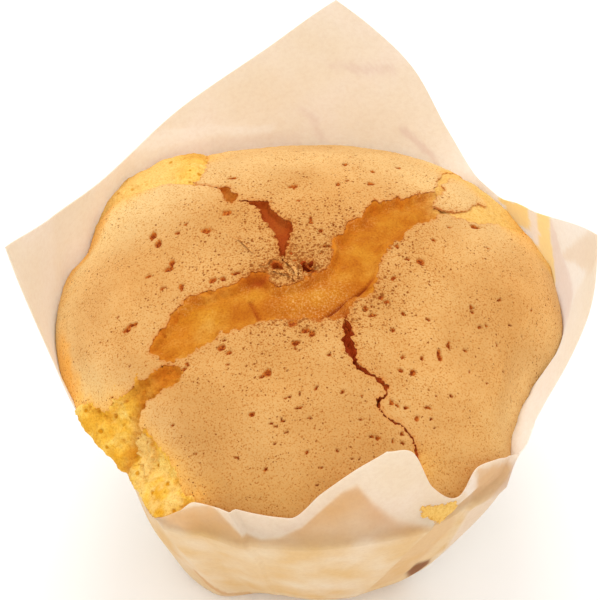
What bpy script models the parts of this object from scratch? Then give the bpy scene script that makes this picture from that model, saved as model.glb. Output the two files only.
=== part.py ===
"""A sponge cake baked in a square of baking parchment pushed into a cup mould.

Two pieces: the domed, cracked sponge, and the paper case with its four corners
standing up. Metres, +Z up, origin at the centre of the flat base, front at -Y.
Azimuths are in degrees from +X towards +Y.
"""

import math

import bmesh
import bpy
from mathutils import Vector, noise
from mathutils.geometry import intersect_point_line

MM = 0.001

# Driving dimensions, in millimetres.
APEX_HEIGHT = 62.5
RIM_HEIGHT = 43.5
RIM_RADIUS = 43.5
BASE_RADIUS = 22.0
PAPER_THICKNESS = 0.6
PAPER_GAP = 0.35
FLAP_CLEARANCE = 0.9

# Departures of the uneven cake from those round figures: (azimuth, millimetres).
RIM_RADIUS_OFF = (
    (-161, -0.5), (-149, -2.0), (-132, -1.2), (-115, -0.3), (-75, -0.5), (-60, -1.5),
    (-45, -2.7), (-30, -3.9), (-14, -4.9), (-4, -2.5), (5, -0.3), (18, 0.5), (47, 1.7),
    (90, 0.8), (114, 0.3), (128, 1.9), (140, 1.7), (147, 1.0), (155, -0.2), (165, 0.9), (176, 0.5),
)
RIM_HEIGHT_OFF = (
    (-150, -1.0), (-100, 2.0), (-80, 2.5), (-60, 0.5), (-30, -1.5), (0, -0.5),
    (50, 1.0), (90, -0.5), (128, 3.5), (147, 3.0), (158, 0.0), (180, -1.0),
)
BASE_RADIUS_OFF = (
    (-156, 3.0), (-142, 6.5), (-126, 6.0), (-112, 1.5), (-95, -0.5), (-68, -0.5), (-50, 1.0),
    (0, 0.0), (90, -0.5), (180, 0.0),
)
# How full the side is: 1 is a straight cone, less is a rounder bowl.
SIDE_FULLNESS = (
    (-150, 1.0), (-125, 0.95), (-95, 0.7), (-60, 0.64), (0, 0.66), (90, 0.7), (150, 0.8),
)
# How square-shouldered the dome is: 0 is a plain dome, 1 has a steep shoulder.
SHOULDER = ((-110, 0.0), (-95, 0.25), (-80, 1.0), (-66, 0.4), (-55, 0.0), (180, 0.0))
# The dome's outline falls as (1 - share ** power) ** root; a shoulder changes both.
DOME_POWER, DOME_ROOT = 2.3, 0.52
SHOULDER_POWER, SHOULDER_ROOT = 1.2, -0.1

# The sheet's cut edge from corner to corner: (azimuth, radius, height).
EDGE_LEFT_TO_BACK = (
    (-180, 50.6, 69.6), (-188, 47.6, 66.1), (-195, 45.9, 63.5), (-209, 44.6, 59.3),
    (-225, 46.8, 55.4), (-244, 48.7, 58.3), (-260, 49.6, 66.7), (-275, 50.4, 77.9),
)
EDGE_BACK_TO_RIGHT = (
    (85, 50.4, 77.9), (76, 49.6, 71.6), (68, 49.0, 62.9), (60, 49.0, 51.5),
    (50, 48.0, 45.8), (44, 47.0, 46.2), (37, 45.4, 50.4), (25, 43.9, 57.1), (3, 47.4, 69.8),
)
EDGE_RIGHT_TO_FRONT = (
    (3, 47.4, 69.8), (-8, 46.5, 62.5), (-16, 44.0, 55.5), (-22, 41.4, 48.4),
    (-29, 40.8, 45.0), (-38, 41.2, 46.6), (-44, 41.5, 50.5), (-50, 41.8, 52.0),
    (-56, 42.4, 48.7), (-63, 42.6, 54.6), (-68, 42.4, 65.5), (-74, 42.4, 67.7),
)
EDGE_FRONT_TO_LEFT = (
    (-74, 42.4, 67.7), (-81, 42.4, 64.2), (-88, 42.4, 58.8), (-95, 42.6, 52.2),
    (-109, 42.6, 52.6), (-115, 43.8, 53.5), (-118, 45.3, 50.8), (-125, 45.6, 45.5),
    (-131, 43.9, 47.0), (-139, 43.0, 46.0), (-150, 43.0, 45.0), (-161, 44.2, 50.6),
    (-173, 47.7, 63.0), (-180, 50.6, 69.6),
)
# Folds that take up the sheet's spare width: (azimuth, width in degrees, height in mm).
PLEATS = (
    (-122, 8, 1.8), (-57, 6, 1.0), (-42, 9, 2.2), (-15, 7, 1.0),
    (22, 6, 0.9), (50, 6, 1.2), (112, 6, 0.9), (134, 6, 1.2), (160, 6, 0.9),
)

# Splits in the crust, as cross-sections seen from above: (x, y) of one edge, then of the other.
VALLEY = (
    ((-27.0, -12.4), (-25.2, -14.3)), ((-24.5, -8.0), (-20.8, -14.6)), ((-20.6, -3.1), (-15.6, -12.1)),
    ((-15.0, -1.7), (-12.0, -10.5)), ((-9.9, 1.2), (-8.2, -9.4)), ((-5.6, -2.0), (-4.4, -9.0)),
    ((-1.1, -0.4), (0.6, -9.5)), ((3.1, 2.9), (5.6, -8.2)), ((3.8, 7.5), (10.6, -3.2)),
    ((6.3, 12.5), (11.6, 3.3)), ((10.5, 17.3), (14.2, 8.5)), ((17.1, 20.9), (20.0, 14.2)),
    ((21.5, 23.6), (21.9, 17.3)),
)
LOWER_VALLEY = (
    ((-25.8, -15.5), (-22.9, -15.4)), ((-28.3, -16.9), (-21.4, -17.3)), ((-31.3, -17.8), (-24.0, -19.5)),
    ((-35.1, -18.7), (-27.8, -22.0)), ((-38.0, -19.6), (-30.6, -24.6)),
)
BACK_CRACK = (
    ((-12.2, 18.4), (-11.8, 19.2)), ((-9.4, 16.5), (-8.0, 18.3)), ((-8.4, 13.8), (-6.4, 15.6)),
    ((-6.5, 11.0), (-3.7, 12.3)), ((-6.2, 8.5), (-3.7, 9.0)), ((-5.7, 6.0), (-4.0, 6.0)),
    ((-5.1, 3.2), (-4.6, 3.6)),
)
BACK_HOLE = (
    ((-16.3, 22.2), (-15.4, 23.0)), ((-15.2, 20.4), (-13.1, 21.0)), ((-14.5, 18.0), (-13.3, 18.6)),
)
# A narrow split, as its middle line and width: (x, y, width).
FRONT_CRACK = (
    (5.9, -8.4, 1.2), (6.1, -13.0, 1.8), (6.4, -16.0, 1.7), (8.4, -19.4, 1.0), (11.8, -21.2, 0.8),
    (11.9, -23.4, 0.7), (10.9, -25.4, 0.9), (12.4, -27.2, 0.7), (15.4, -28.2, 0.6), (17.0, -31.0, 0.5),
)
# Depth of a split at even steps from its first edge to its second.
VALLEY_DEPTHS = (2.8, 1.5, 1.2, 1.6, 0.9)
LOWER_VALLEY_DEPTHS = (1.6, 1.3, 1.2, 1.3, 1.4)
CRACK_DEPTHS = (2.0, 2.8, 2.0)
NARROW_DEPTHS = (1.3, 1.6, 1.3)
CUTTER_TOP = 72.0

# Smooth hollows and rises of the crust: outlines seen from above.
TORN_SIDE = (
    (-40.5, -15.0), (-35.1, -18.7), (-28.8, -23.4), (-25.0, -28.4), (-21.2, -34.9),
    (-22.5, -40.0), (-33.0, -34.0), (-40.0, -24.0),
)
CRUST_FLAP = (
    (22.1, 22.0), (25.4, 28.0), (28.3, 25.5), (27.8, 22.4), (24.0, 18.0), (20.9, 19.0),
)
TORN_DEPTH, TORN_SLOPE_WIDTH = 0.9, 2.5
FLAP_RISE, FLAP_SLOPE_WIDTH = 0.8, 1.5
CRUST_UNEVENNESS, UNEVENNESS_SPACING = 0.35, 9.0

# The paper's flat floor, and where its free flap starts below a low cut edge.
FLOOR_SHARE = 0.45
TURN_UP = 1.6
FLAP_BELOW_EDGE = 1.2
# Azimuths of the sheet's four corners, the left one at both ends.
CORNERS = (-180, -74, 3, 85, 180)

# The sponge draws in from the paper towards its underside.
UNDERSIDE_INSET = 2.6
INSET_LOW, INSET_HIGH = 1.6, 1.0
RELIEF_FADE_SHARE = 0.06

# Mesh fineness.
SECTORS = 80
DOME_RINGS = 14
RING_CROWDING = 1.15
SIDE_STEPS = (0.06, 0.15, 0.3, 0.5, 0.7, 0.88)
WALL_STEPS = (0.02, 0.1, 0.25, 0.45, 0.7, 1.0)
FLAP_STEPS = (0.25, 0.5, 0.75, 1.0)


def hermite(before, start, end, after, t):
    """Value at t between start and end, each a (place, value) pair, with no overshoot."""
    span = end[0] - start[0]
    rise = (end[1] - start[1]) / span

    def slope(one, two, neighbour_rise, full):
        if neighbour_rise * rise <= 0:
            return 0.0
        limit = 3 * min(abs(neighbour_rise), abs(rise))
        return max(-limit, min(limit, full))

    rise_before = (start[1] - before[1]) / (start[0] - before[0]) if before else rise
    rise_after = (after[1] - end[1]) / (after[0] - end[0]) if after else rise
    full_start = (end[1] - before[1]) / (end[0] - before[0]) if before else rise
    full_end = (after[1] - start[1]) / (after[0] - start[0]) if after else rise
    m0 = slope(before, start, rise_before, full_start)
    m1 = slope(end, after, rise_after, full_end)
    t2, t3 = t * t, t * t * t
    return (
        (2 * t3 - 3 * t2 + 1) * start[1]
        + (t3 - 2 * t2 + t) * span * m0
        + (3 * t2 - 2 * t3) * end[1]
        + (t3 - t2) * span * m1
    )


def around(knots, azimuth):
    """Value at an azimuth on the smooth closed curve through (azimuth, value) knots."""
    azimuth = (azimuth + 180) % 360 - 180
    count = len(knots)

    def knot(index):
        turns, place = divmod(index, count)
        return knots[place][0] + 360 * turns, knots[place][1]

    index = max((i for i in range(count) if knots[i][0] <= azimuth), default=-1)
    before, start, end, after = (knot(index + step) for step in (-1, 0, 1, 2))
    return hermite(before, start, end, after, (azimuth - start[0]) / (end[0] - start[0]))


def along(knots, azimuth, column):
    """One column of the cut edge between two corners, which stay sharp."""
    turned = knots[0][0] > knots[-1][0]
    ordered = knots[::-1] if turned else knots
    line = [(knot[0], knot[column]) for knot in ordered]
    last = len(line) - 2
    index = max((i for i in range(last + 1) if line[i][0] <= azimuth), default=0)
    before = line[index - 1] if index > 0 else None
    after = line[index + 2] if index < last else None
    start, end = line[index], line[index + 1]
    return hermite(before, start, end, after, (azimuth - start[0]) / (end[0] - start[0]))


def smooth(value):
    """Ease from 0 to 1 as value goes from 0 to 1."""
    value = min(max(value, 0.0), 1.0)
    return value * value * (3 - 2 * value)


def in_outline(outline, x, y):
    """Whether (x, y) lies inside a closed outline."""
    inside = False
    for (x1, y1), (x2, y2) in zip(outline, outline[1:] + outline[:1]):
        if (y1 > y) != (y2 > y) and x < x1 + (y - y1) * (x2 - x1) / (y2 - y1):
            inside = not inside
    return inside


def distance_to(outline, x, y):
    """Least distance from (x, y) to a closed outline."""
    point = Vector((x, y))
    least = math.inf
    for start, end in zip(outline, outline[1:] + outline[:1]):
        near, share = intersect_point_line(point, start, end)
        near = Vector(start) if share < 0 else Vector(end) if share > 1 else near
        least = min(least, (point - near.to_2d()).length)
    return least


def eased(outline, height, slope_width, x, y):
    """Height inside an outline, easing up from its edge over slope_width."""
    if not in_outline(outline, x, y):
        return 0.0
    return height * smooth(distance_to(outline, x, y) / slope_width)


def rim_radius(azimuth):
    """Radius of the sponge's widest line."""
    return RIM_RADIUS + around(RIM_RADIUS_OFF, azimuth)


def rim_height(azimuth):
    """Height of the sponge's widest line."""
    return RIM_HEIGHT + around(RIM_HEIGHT_OFF, azimuth)


def wall_radius(azimuth, height):
    """Outer radius of the paper below the rim, without its pleats."""
    base = BASE_RADIUS + around(BASE_RADIUS_OFF, azimuth)
    top = rim_radius(azimuth) + PAPER_GAP + PAPER_THICKNESS
    share = min(max(height / rim_height(azimuth), 0.0), 1.0)
    return base + (top - base) * share ** around(SIDE_FULLNESS, azimuth)


def dome_powers(azimuth):
    """The two powers of the dome's outline: more is squarer."""
    shoulder = around(SHOULDER, azimuth)
    return DOME_POWER + SHOULDER_POWER * shoulder, DOME_ROOT + SHOULDER_ROOT * shoulder


def dome_height(azimuth, share):
    """Height of the crust at a share of the rim's radius."""
    power, root = dome_powers(azimuth)
    low = rim_height(azimuth)
    return low + (APEX_HEIGHT - low) * max(1 - share**power, 0.0) ** root


def dome_radius(azimuth, height):
    """Radius of the crust at a height between the rim and the apex."""
    power, root = dome_powers(azimuth)
    low = rim_height(azimuth)
    lift = min(max((height - low) / (APEX_HEIGHT - low), 0.0), 1.0)
    return rim_radius(azimuth) * (1 - lift ** (1 / root)) ** (1 / power)


def crust_relief(x, y):
    """How far the crust stands above the plain dome, without its splits."""
    hollow = eased(TORN_SIDE, TORN_DEPTH, TORN_SLOPE_WIDTH, x, y)
    rise = eased(CRUST_FLAP, FLAP_RISE, FLAP_SLOPE_WIDTH, x, y)
    ripple = noise.noise(Vector((x, y, 0)) / UNEVENNESS_SPACING) * CRUST_UNEVENNESS
    return rise - hollow + ripple


def crust_height(x, y):
    """Height of the crust at (x, y)."""
    azimuth = math.degrees(math.atan2(y, x))
    share = min(math.hypot(x, y) / rim_radius(azimuth), 1.0)
    return dome_height(azimuth, share) + crust_relief(x, y)


def ring_points(radius_at, height_at):
    """One ring of points, in metres, round the axis."""
    points = []
    for sector in range(SECTORS):
        azimuth = 360 * sector / SECTORS - 180
        turn = math.radians(azimuth)
        radius = radius_at(azimuth)
        x, y = radius * math.cos(turn), radius * math.sin(turn)
        points.append(Vector((x, y, height_at(azimuth, x, y))) * MM)
    return points


def bridge(shape, lower, upper):
    """Faces between two rings of the same number of vertices."""
    for index in range(len(lower)):
        after = (index + 1) % len(lower)
        shape.faces.new((lower[index], lower[after], upper[after], upper[index]))


def fan(shape, ring, tip):
    """Faces from a ring to one point."""
    for index in range(len(ring)):
        shape.faces.new((ring[index], ring[(index + 1) % len(ring)], tip))


def sponge_rings():
    """Rings of the sponge from its flat underside up to the apex."""
    low = PAPER_THICKNESS + PAPER_GAP

    def underside(azimuth):
        return wall_radius(azimuth, 0) - UNDERSIDE_INSET

    rings = [ring_points(underside, lambda azimuth, x, y: low)]
    for share in SIDE_STEPS:

        def side(azimuth, share=share):
            inset = low * (INSET_LOW + (INSET_HIGH - INSET_LOW) * share)
            return wall_radius(azimuth, share * rim_height(azimuth)) - inset

        def level(azimuth, x, y, share=share):
            return share * rim_height(azimuth)

        rings.append(ring_points(side, level))
    for step in range(DOME_RINGS):
        share = math.cos(math.pi / 2 * (step / DOME_RINGS) ** RING_CROWDING)

        def on_dome(azimuth, share=share):
            return share * rim_radius(azimuth)

        def crust(azimuth, x, y, share=share):
            fade = smooth((1 - share) / RELIEF_FADE_SHARE)
            return dome_height(azimuth, share) + fade * crust_relief(x, y)

        rings.append(ring_points(on_dome, crust))
    return rings


def sponge_body():
    """The sponge before its crust split: flat underside, flared side, dome."""
    shape = bmesh.new()
    rings = [[shape.verts.new(point) for point in ring] for ring in sponge_rings()]
    for lower, upper in zip(rings, rings[1:]):
        bridge(shape, lower, upper)
    fan(shape, rings[-1], shape.verts.new(Vector((0, 0, crust_height(0, 0))) * MM))
    underside = shape.verts.new(Vector((0, 0, PAPER_THICKNESS + PAPER_GAP)) * MM)
    fan(shape, rings[0][::-1], underside)
    return shape


def narrow(route):
    """Cross-sections of a split from its middle line and widths."""
    sections = []
    for index, (x, y, width) in enumerate(route):
        before = route[max(index - 1, 0)]
        after = route[min(index + 1, len(route) - 1)]
        across = Vector((after[1] - before[1], before[0] - after[0])).normalized() * width / 2
        sections.append(((x - across.x, y - across.y), (x + across.x, y + across.y)))
    return tuple(sections)


def split_cutter(name, sections, depths):
    """A solid that cuts one split, its floor following the crust at the given depths."""
    shape = bmesh.new()
    rings = []
    for first, second in sections:
        points = []
        for step, depth in enumerate(depths):
            x, y = Vector(first).lerp(Vector(second), step / (len(depths) - 1))
            points.append(Vector((x, y, crust_height(x, y) - depth)))
        points.append(Vector((*second, CUTTER_TOP)))
        points.append(Vector((*first, CUTTER_TOP)))
        rings.append([shape.verts.new(point * MM) for point in points])
    for lower, upper in zip(rings, rings[1:]):
        bridge(shape, lower, upper)
    shape.faces.new(rings[0])
    shape.faces.new(rings[-1])
    bmesh.ops.triangulate(shape, faces=shape.faces)
    bmesh.ops.recalc_face_normals(shape, faces=shape.faces)
    made = place(name, shape, None)
    made.hide_render = True
    made.display_type = "WIRE"
    return made


def sponge_cake():
    """The sponge with its crust split open."""
    made = place("sponge_cake", sponge_body(), material("baked_sponge", (0.80, 0.45, 0.14), 0.8))
    splits = (
        ("valley", VALLEY, VALLEY_DEPTHS),
        ("lower_valley", LOWER_VALLEY, LOWER_VALLEY_DEPTHS),
        ("back_crack", BACK_CRACK, CRACK_DEPTHS),
        ("back_hole", BACK_HOLE, CRACK_DEPTHS),
        ("front_crack", narrow(FRONT_CRACK), NARROW_DEPTHS),
    )
    for name, sections, depths in splits:
        cut = made.modifiers.new(name, "BOOLEAN")
        cut.operation = "DIFFERENCE"
        cut.object = split_cutter(name + "_cutter", sections, depths)
    return made


def pleat(azimuth):
    """How far the pleats carry the paper out at an azimuth."""
    rise = 0.0
    for middle, width, height in PLEATS:
        off = (azimuth - middle + 180) % 360 - 180
        rise = max(rise, height * (1 - smooth(abs(off) / width)))
    return rise


def cut_edge(azimuth):
    """Radius and height of the sheet's cut edge."""
    azimuth = (azimuth + 180) % 360 - 180
    if azimuth < CORNERS[1]:
        side = EDGE_FRONT_TO_LEFT
    elif azimuth < CORNERS[2]:
        side = EDGE_RIGHT_TO_FRONT
    elif azimuth < CORNERS[3]:
        side = EDGE_BACK_TO_RIGHT
    else:
        side = EDGE_LEFT_TO_BACK
        azimuth -= 360
    return along(side, azimuth, 1), along(side, azimuth, 2)


def paper_azimuths():
    """Azimuths of the sheet's columns: even along each side, with one at each corner."""
    azimuths = []
    for start, end in zip(CORNERS, CORNERS[1:]):
        columns = round(SECTORS * (end - start) / 360)
        azimuths += [start + (end - start) * column / columns for column in range(columns)]
    return azimuths


def paper_column(azimuth):
    """(radius, height) down one column of the sheet, from near the axis to the cut edge."""
    base = wall_radius(azimuth, 0)
    column = [(base * FLOOR_SHARE, 0.0), (base - TURN_UP, 0.0)]
    edge_radius, edge_height = cut_edge(azimuth)
    top = min(rim_height(azimuth), edge_height - FLAP_BELOW_EDGE)
    for share in WALL_STEPS:
        height = share * top
        column.append((wall_radius(azimuth, height) + pleat(azimuth) * smooth(share), height))
    start = column[-1][0]
    for share in FLAP_STEPS:
        height = top + share * (edge_height - top)
        radius = start + share * (edge_radius - start)
        clear = dome_radius(azimuth, height) + PAPER_THICKNESS + FLAP_CLEARANCE
        column.append((max(radius, clear), height))
    return column


def paper_sheet():
    """The parchment as a bare surface, its outward side facing out."""
    shape = bmesh.new()
    azimuths = paper_azimuths()
    columns = []
    for azimuth in azimuths:
        turn = math.radians(azimuth)
        direction = Vector((math.cos(turn), math.sin(turn), 0))
        column = paper_column(azimuth)
        columns.append([(direction * radius + Vector((0, 0, height))) * MM for radius, height in column])
    rings = [[shape.verts.new(point) for point in ring] for ring in zip(*columns)]
    fan(shape, rings[0][::-1], shape.verts.new((0, 0, 0)))
    for lower, upper in zip(rings, rings[1:]):
        bridge(shape, lower, upper)
    return shape


def material(name, colour, roughness):
    """A Principled material of one colour."""
    made = bpy.data.materials.new(name)
    made.use_nodes = True
    shader = made.node_tree.nodes["Principled BSDF"]
    shader.inputs["Base Color"].default_value = (*colour, 1)
    shader.inputs["Roughness"].default_value = roughness
    shader.inputs["Metallic"].default_value = 0
    return made


def place(name, shape, finish):
    """Turn a bmesh into a named object in the scene."""
    mesh = bpy.data.meshes.new(name)
    shape.to_mesh(mesh)
    shape.free()
    mesh.shade_smooth()
    if finish:
        mesh.materials.append(finish)
    made = bpy.data.objects.new(name, mesh)
    bpy.context.scene.collection.objects.link(made)
    return made


def paper_case():
    """The parchment given its thickness inwards."""
    made = place("paper_case", paper_sheet(), material("baking_parchment", (0.76, 0.56, 0.34), 0.6))
    thickness = made.modifiers.new("thickness", "SOLIDIFY")
    thickness.thickness = PAPER_THICKNESS * MM
    thickness.offset = -1
    thickness.use_even_offset = True
    thickness.thickness_clamp = 0
    return made


def main():
    """Clear the scene and build both pieces."""
    for old in list(bpy.data.objects):
        bpy.data.objects.remove(old)
    sponge_cake()
    paper_case()


main()
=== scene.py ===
"""Looks of a sponge cake baked in a square sheet of baking parchment.

The crust is built as thin plates that lie on the crumb, each cut to its own
ragged outline. The crumb shows where the plates have parted or come away. The
parchment is one pleated sheet. Sizes are in millimetres, and meshes in metres,
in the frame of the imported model: +Z up, front at -Y, azimuths in degrees from
+X towards +Y.
"""

from __future__ import annotations

import logging
import math
import sys
from collections.abc import Callable
from dataclasses import dataclass
from enum import Enum
from functools import partial

import bpy
import numpy as np
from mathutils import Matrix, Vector

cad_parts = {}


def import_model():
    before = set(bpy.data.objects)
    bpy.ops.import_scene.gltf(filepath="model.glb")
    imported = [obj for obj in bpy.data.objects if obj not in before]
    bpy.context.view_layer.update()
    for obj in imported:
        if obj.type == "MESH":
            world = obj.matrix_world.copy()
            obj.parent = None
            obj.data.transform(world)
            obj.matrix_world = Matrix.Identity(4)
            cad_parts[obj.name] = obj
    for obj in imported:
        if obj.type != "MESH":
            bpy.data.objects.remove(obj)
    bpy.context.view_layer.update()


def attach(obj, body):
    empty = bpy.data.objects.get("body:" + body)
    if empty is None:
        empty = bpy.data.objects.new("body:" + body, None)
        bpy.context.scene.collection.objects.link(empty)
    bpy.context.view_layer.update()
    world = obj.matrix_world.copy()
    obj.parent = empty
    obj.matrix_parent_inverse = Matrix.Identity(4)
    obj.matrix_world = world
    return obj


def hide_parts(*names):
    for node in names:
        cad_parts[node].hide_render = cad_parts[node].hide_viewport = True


LOG = logging.getLogger("sponge_cake")
MM = 0.001

Pair = tuple[float, float]
Line = tuple[Pair, ...]
Route = tuple[tuple[float, float, float], ...]


def linear(code: str) -> tuple[float, float, float, float]:
    """Turn an sRGB hex value into the linear colour that a shader takes.

    Args:
        code: Six hex digits, such as "E8C78E".

    Returns:
        Red, green, blue and an alpha of one.
    """
    shares = [int(code[place : place + 2], 16) / 255 for place in (0, 2, 4)]
    straight = [c / 12.92 if c <= 0.04045 else ((c + 0.055) / 1.055) ** 2.4 for c in shares]
    return (*straight, 1.0)


def smooth(value: np.ndarray) -> np.ndarray:
    """Ease from 0 to 1 as the value goes from 0 to 1."""
    value = np.clip(value, 0.0, 1.0)
    return value * value * (3 - 2 * value)


def eased_through(place: np.ndarray, value: np.ndarray, at: np.ndarray) -> np.ndarray:
    """Read a smooth curve through points, with no overshoot between them.

    Args:
        place: Rising places of the points.
        value: Values at those places.
        at: Where to read the curve.

    Returns:
        The curve's values.
    """
    rise = np.diff(value) / np.diff(place)
    full = (value[2:] - value[:-2]) / (place[2:] - place[:-2])
    limit = 3 * np.minimum(np.abs(rise[1:]), np.abs(rise[:-1]))
    inner = np.where(rise[1:] * rise[:-1] <= 0, 0.0, np.clip(full, -limit, limit))
    slope = np.concatenate([rise[:1], inner, rise[-1:]])
    index = np.clip(np.searchsorted(place, at, side="right") - 1, 0, len(place) - 2)
    span = place[index + 1] - place[index]
    t = (at - place[index]) / span
    return (
        (2 * t**3 - 3 * t**2 + 1) * value[index]
        + (t**3 - 2 * t**2 + t) * span * slope[index]
        + (3 * t**2 - 2 * t**3) * value[index + 1]
        + (t**3 - t**2) * span * slope[index + 1]
    )


def wrapped(azimuth: np.ndarray) -> np.ndarray:
    """Bring azimuths into -180 to 180."""
    return (np.asarray(azimuth, float) + 180) % 360 - 180


def bell(off: np.ndarray, width: float, power: int = 2) -> np.ndarray:
    """A hump that is 1 in the middle and fades out past its width."""
    return np.exp(-((off / width) ** power))


def hump(places: np.ndarray, middle: Pair, half: Pair) -> np.ndarray:
    """A hump over a plane, round its middle and as wide each way as its halves."""
    off = (places - middle) / half
    return np.exp(-(off[:, 0] ** 2) - off[:, 1] ** 2)


def fading(away: np.ndarray, reach: float) -> np.ndarray:
    """Fade from 1 at an edge to 0 well past it."""
    return np.exp(-np.maximum(away, 0) / reach)


def polar(points: np.ndarray) -> tuple[np.ndarray, np.ndarray]:
    """Azimuths of points in degrees, and their distances from the axis."""
    return np.degrees(np.arctan2(points[:, 1], points[:, 0])), np.hypot(points[:, 0], points[:, 1])


def placed(azimuth: np.ndarray, radius: np.ndarray, *height: np.ndarray) -> np.ndarray:
    """Points at azimuths in degrees, at radii and, where given, heights."""
    turn = np.radians(azimuth)
    return np.stack([radius * np.cos(turn), radius * np.sin(turn), *height], 1)


def round_the_cake(knots: Line, azimuth: np.ndarray) -> np.ndarray:
    """Read a smooth closed curve through (azimuth, value) knots."""
    table = np.array(knots, float)
    place = np.concatenate([table[-2:, 0] - 360, table[:, 0], table[:2, 0] + 360])
    value = np.concatenate([table[-2:, 1], table[:, 1], table[:2, 1]])
    return eased_through(place, value, wrapped(azimuth))


def beside(points: np.ndarray, line: np.ndarray) -> tuple[np.ndarray, np.ndarray]:
    """Where points lie beside an open line of straight stretches.

    Args:
        points: Array of (x, y).
        line: The line's (x, y) points.

    Returns:
        Signed distance, above zero on the left of the way the line runs, and the share of
        the way along it.
    """
    least = np.full(len(points), np.inf)
    sign, place = np.zeros(len(points)), np.zeros(len(points))
    for index, (start, end) in enumerate(zip(line[:-1], line[1:])):
        along = end - start
        share = np.clip((points - start) @ along / max(float(along @ along), 1e-9), 0, 1)
        off = points - start - share[:, None] * along
        away = np.einsum("ij,ij->i", off, off)
        nearer = away < least
        least = np.where(nearer, away, least)
        turn = along[0] * (points[:, 1] - start[1]) - along[1] * (points[:, 0] - start[0])
        sign = np.where(nearer, np.where(turn >= 0, 1.0, -1.0), sign)
        place = np.where(nearer, (index + share) / (len(line) - 1), place)
    return sign * np.sqrt(least), place


def distance_to(points: np.ndarray, line: np.ndarray) -> np.ndarray:
    """Least distance from each point to an open line."""
    return np.abs(beside(points, line)[0])


def signed_distance(points: np.ndarray, outline: np.ndarray, reach: float = 6.0) -> np.ndarray:
    """Distance to a closed outline, below zero inside it.

    Args:
        points: Array of (x, y).
        outline: Array of the outline's corners.
        reach: Points further off than this are all given this distance.

    Returns:
        One signed distance a point.
    """
    result = np.full(len(points), reach)
    low, high = outline.min(0) - reach, outline.max(0) + reach
    near = np.flatnonzero(((points > low) & (points < high)).all(1))
    if not len(near):
        return result
    x, y = points[near].T
    closed = np.vstack([outline, outline[:1]])
    inside = np.zeros(len(near), bool)
    for (x1, y1), (x2, y2) in zip(closed[:-1], closed[1:]):
        if y1 != y2:
            inside ^= ((y1 > y) != (y2 > y)) & (x < x1 + (y - y1) * (x2 - x1) / (y2 - y1))
    away = np.minimum(distance_to(points[near], closed), reach)
    result[near] = np.where(inside, -away, away)
    return result


@dataclass(frozen=True)
class Grain:
    """Seeded smooth noise over a plane.

    Attributes:
        seed: Start of the random table.
    """

    seed: int
    TABLE = 4096
    APART = 17.3
    HASH = (73856093, 19349663)

    def at(self, points: np.ndarray, size: float, octaves: int = 1) -> np.ndarray:
        """Noise of about -1 to 1.

        Args:
            points: Array of (x, y).
            size: Spacing of the coarsest bumps.
            octaves: How many finer copies are added, each half the size and height.

        Returns:
            One value a point.
        """
        turns = np.random.default_rng(self.seed).random(self.TABLE) * 2 * np.pi
        total = np.zeros(len(points))
        for octave in range(octaves):
            place = points * (2**octave / size) + octave * self.APART
            cell = np.floor(place).astype(np.int64)
            part = place - cell
            fade = part**3 * (part * (part * 6 - 15) + 10)
            corners = []
            for corner in ((0, 0), (0, 1), (1, 0), (1, 1)):
                key = (cell + corner) * self.HASH
                turn = turns[(key[:, 0] ^ key[:, 1]) % self.TABLE]
                offset = part - corner
                corners.append(np.cos(turn) * offset[:, 0] + np.sin(turn) * offset[:, 1])
            low = corners[0] + fade[:, 1] * (corners[1] - corners[0])
            high = corners[2] + fade[:, 1] * (corners[3] - corners[2])
            total += 1.5 * (low + fade[:, 0] * (high - low)) / 2**octave
        return total

    def push(self, points: np.ndarray, size: float, octaves: int = 2) -> np.ndarray:
        """Noise in two directions, to bend an outline that is read there."""
        both = (self, Grain(self.seed + 1))
        return np.stack([grain.at(points, size, octaves) for grain in both], 1)


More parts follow.
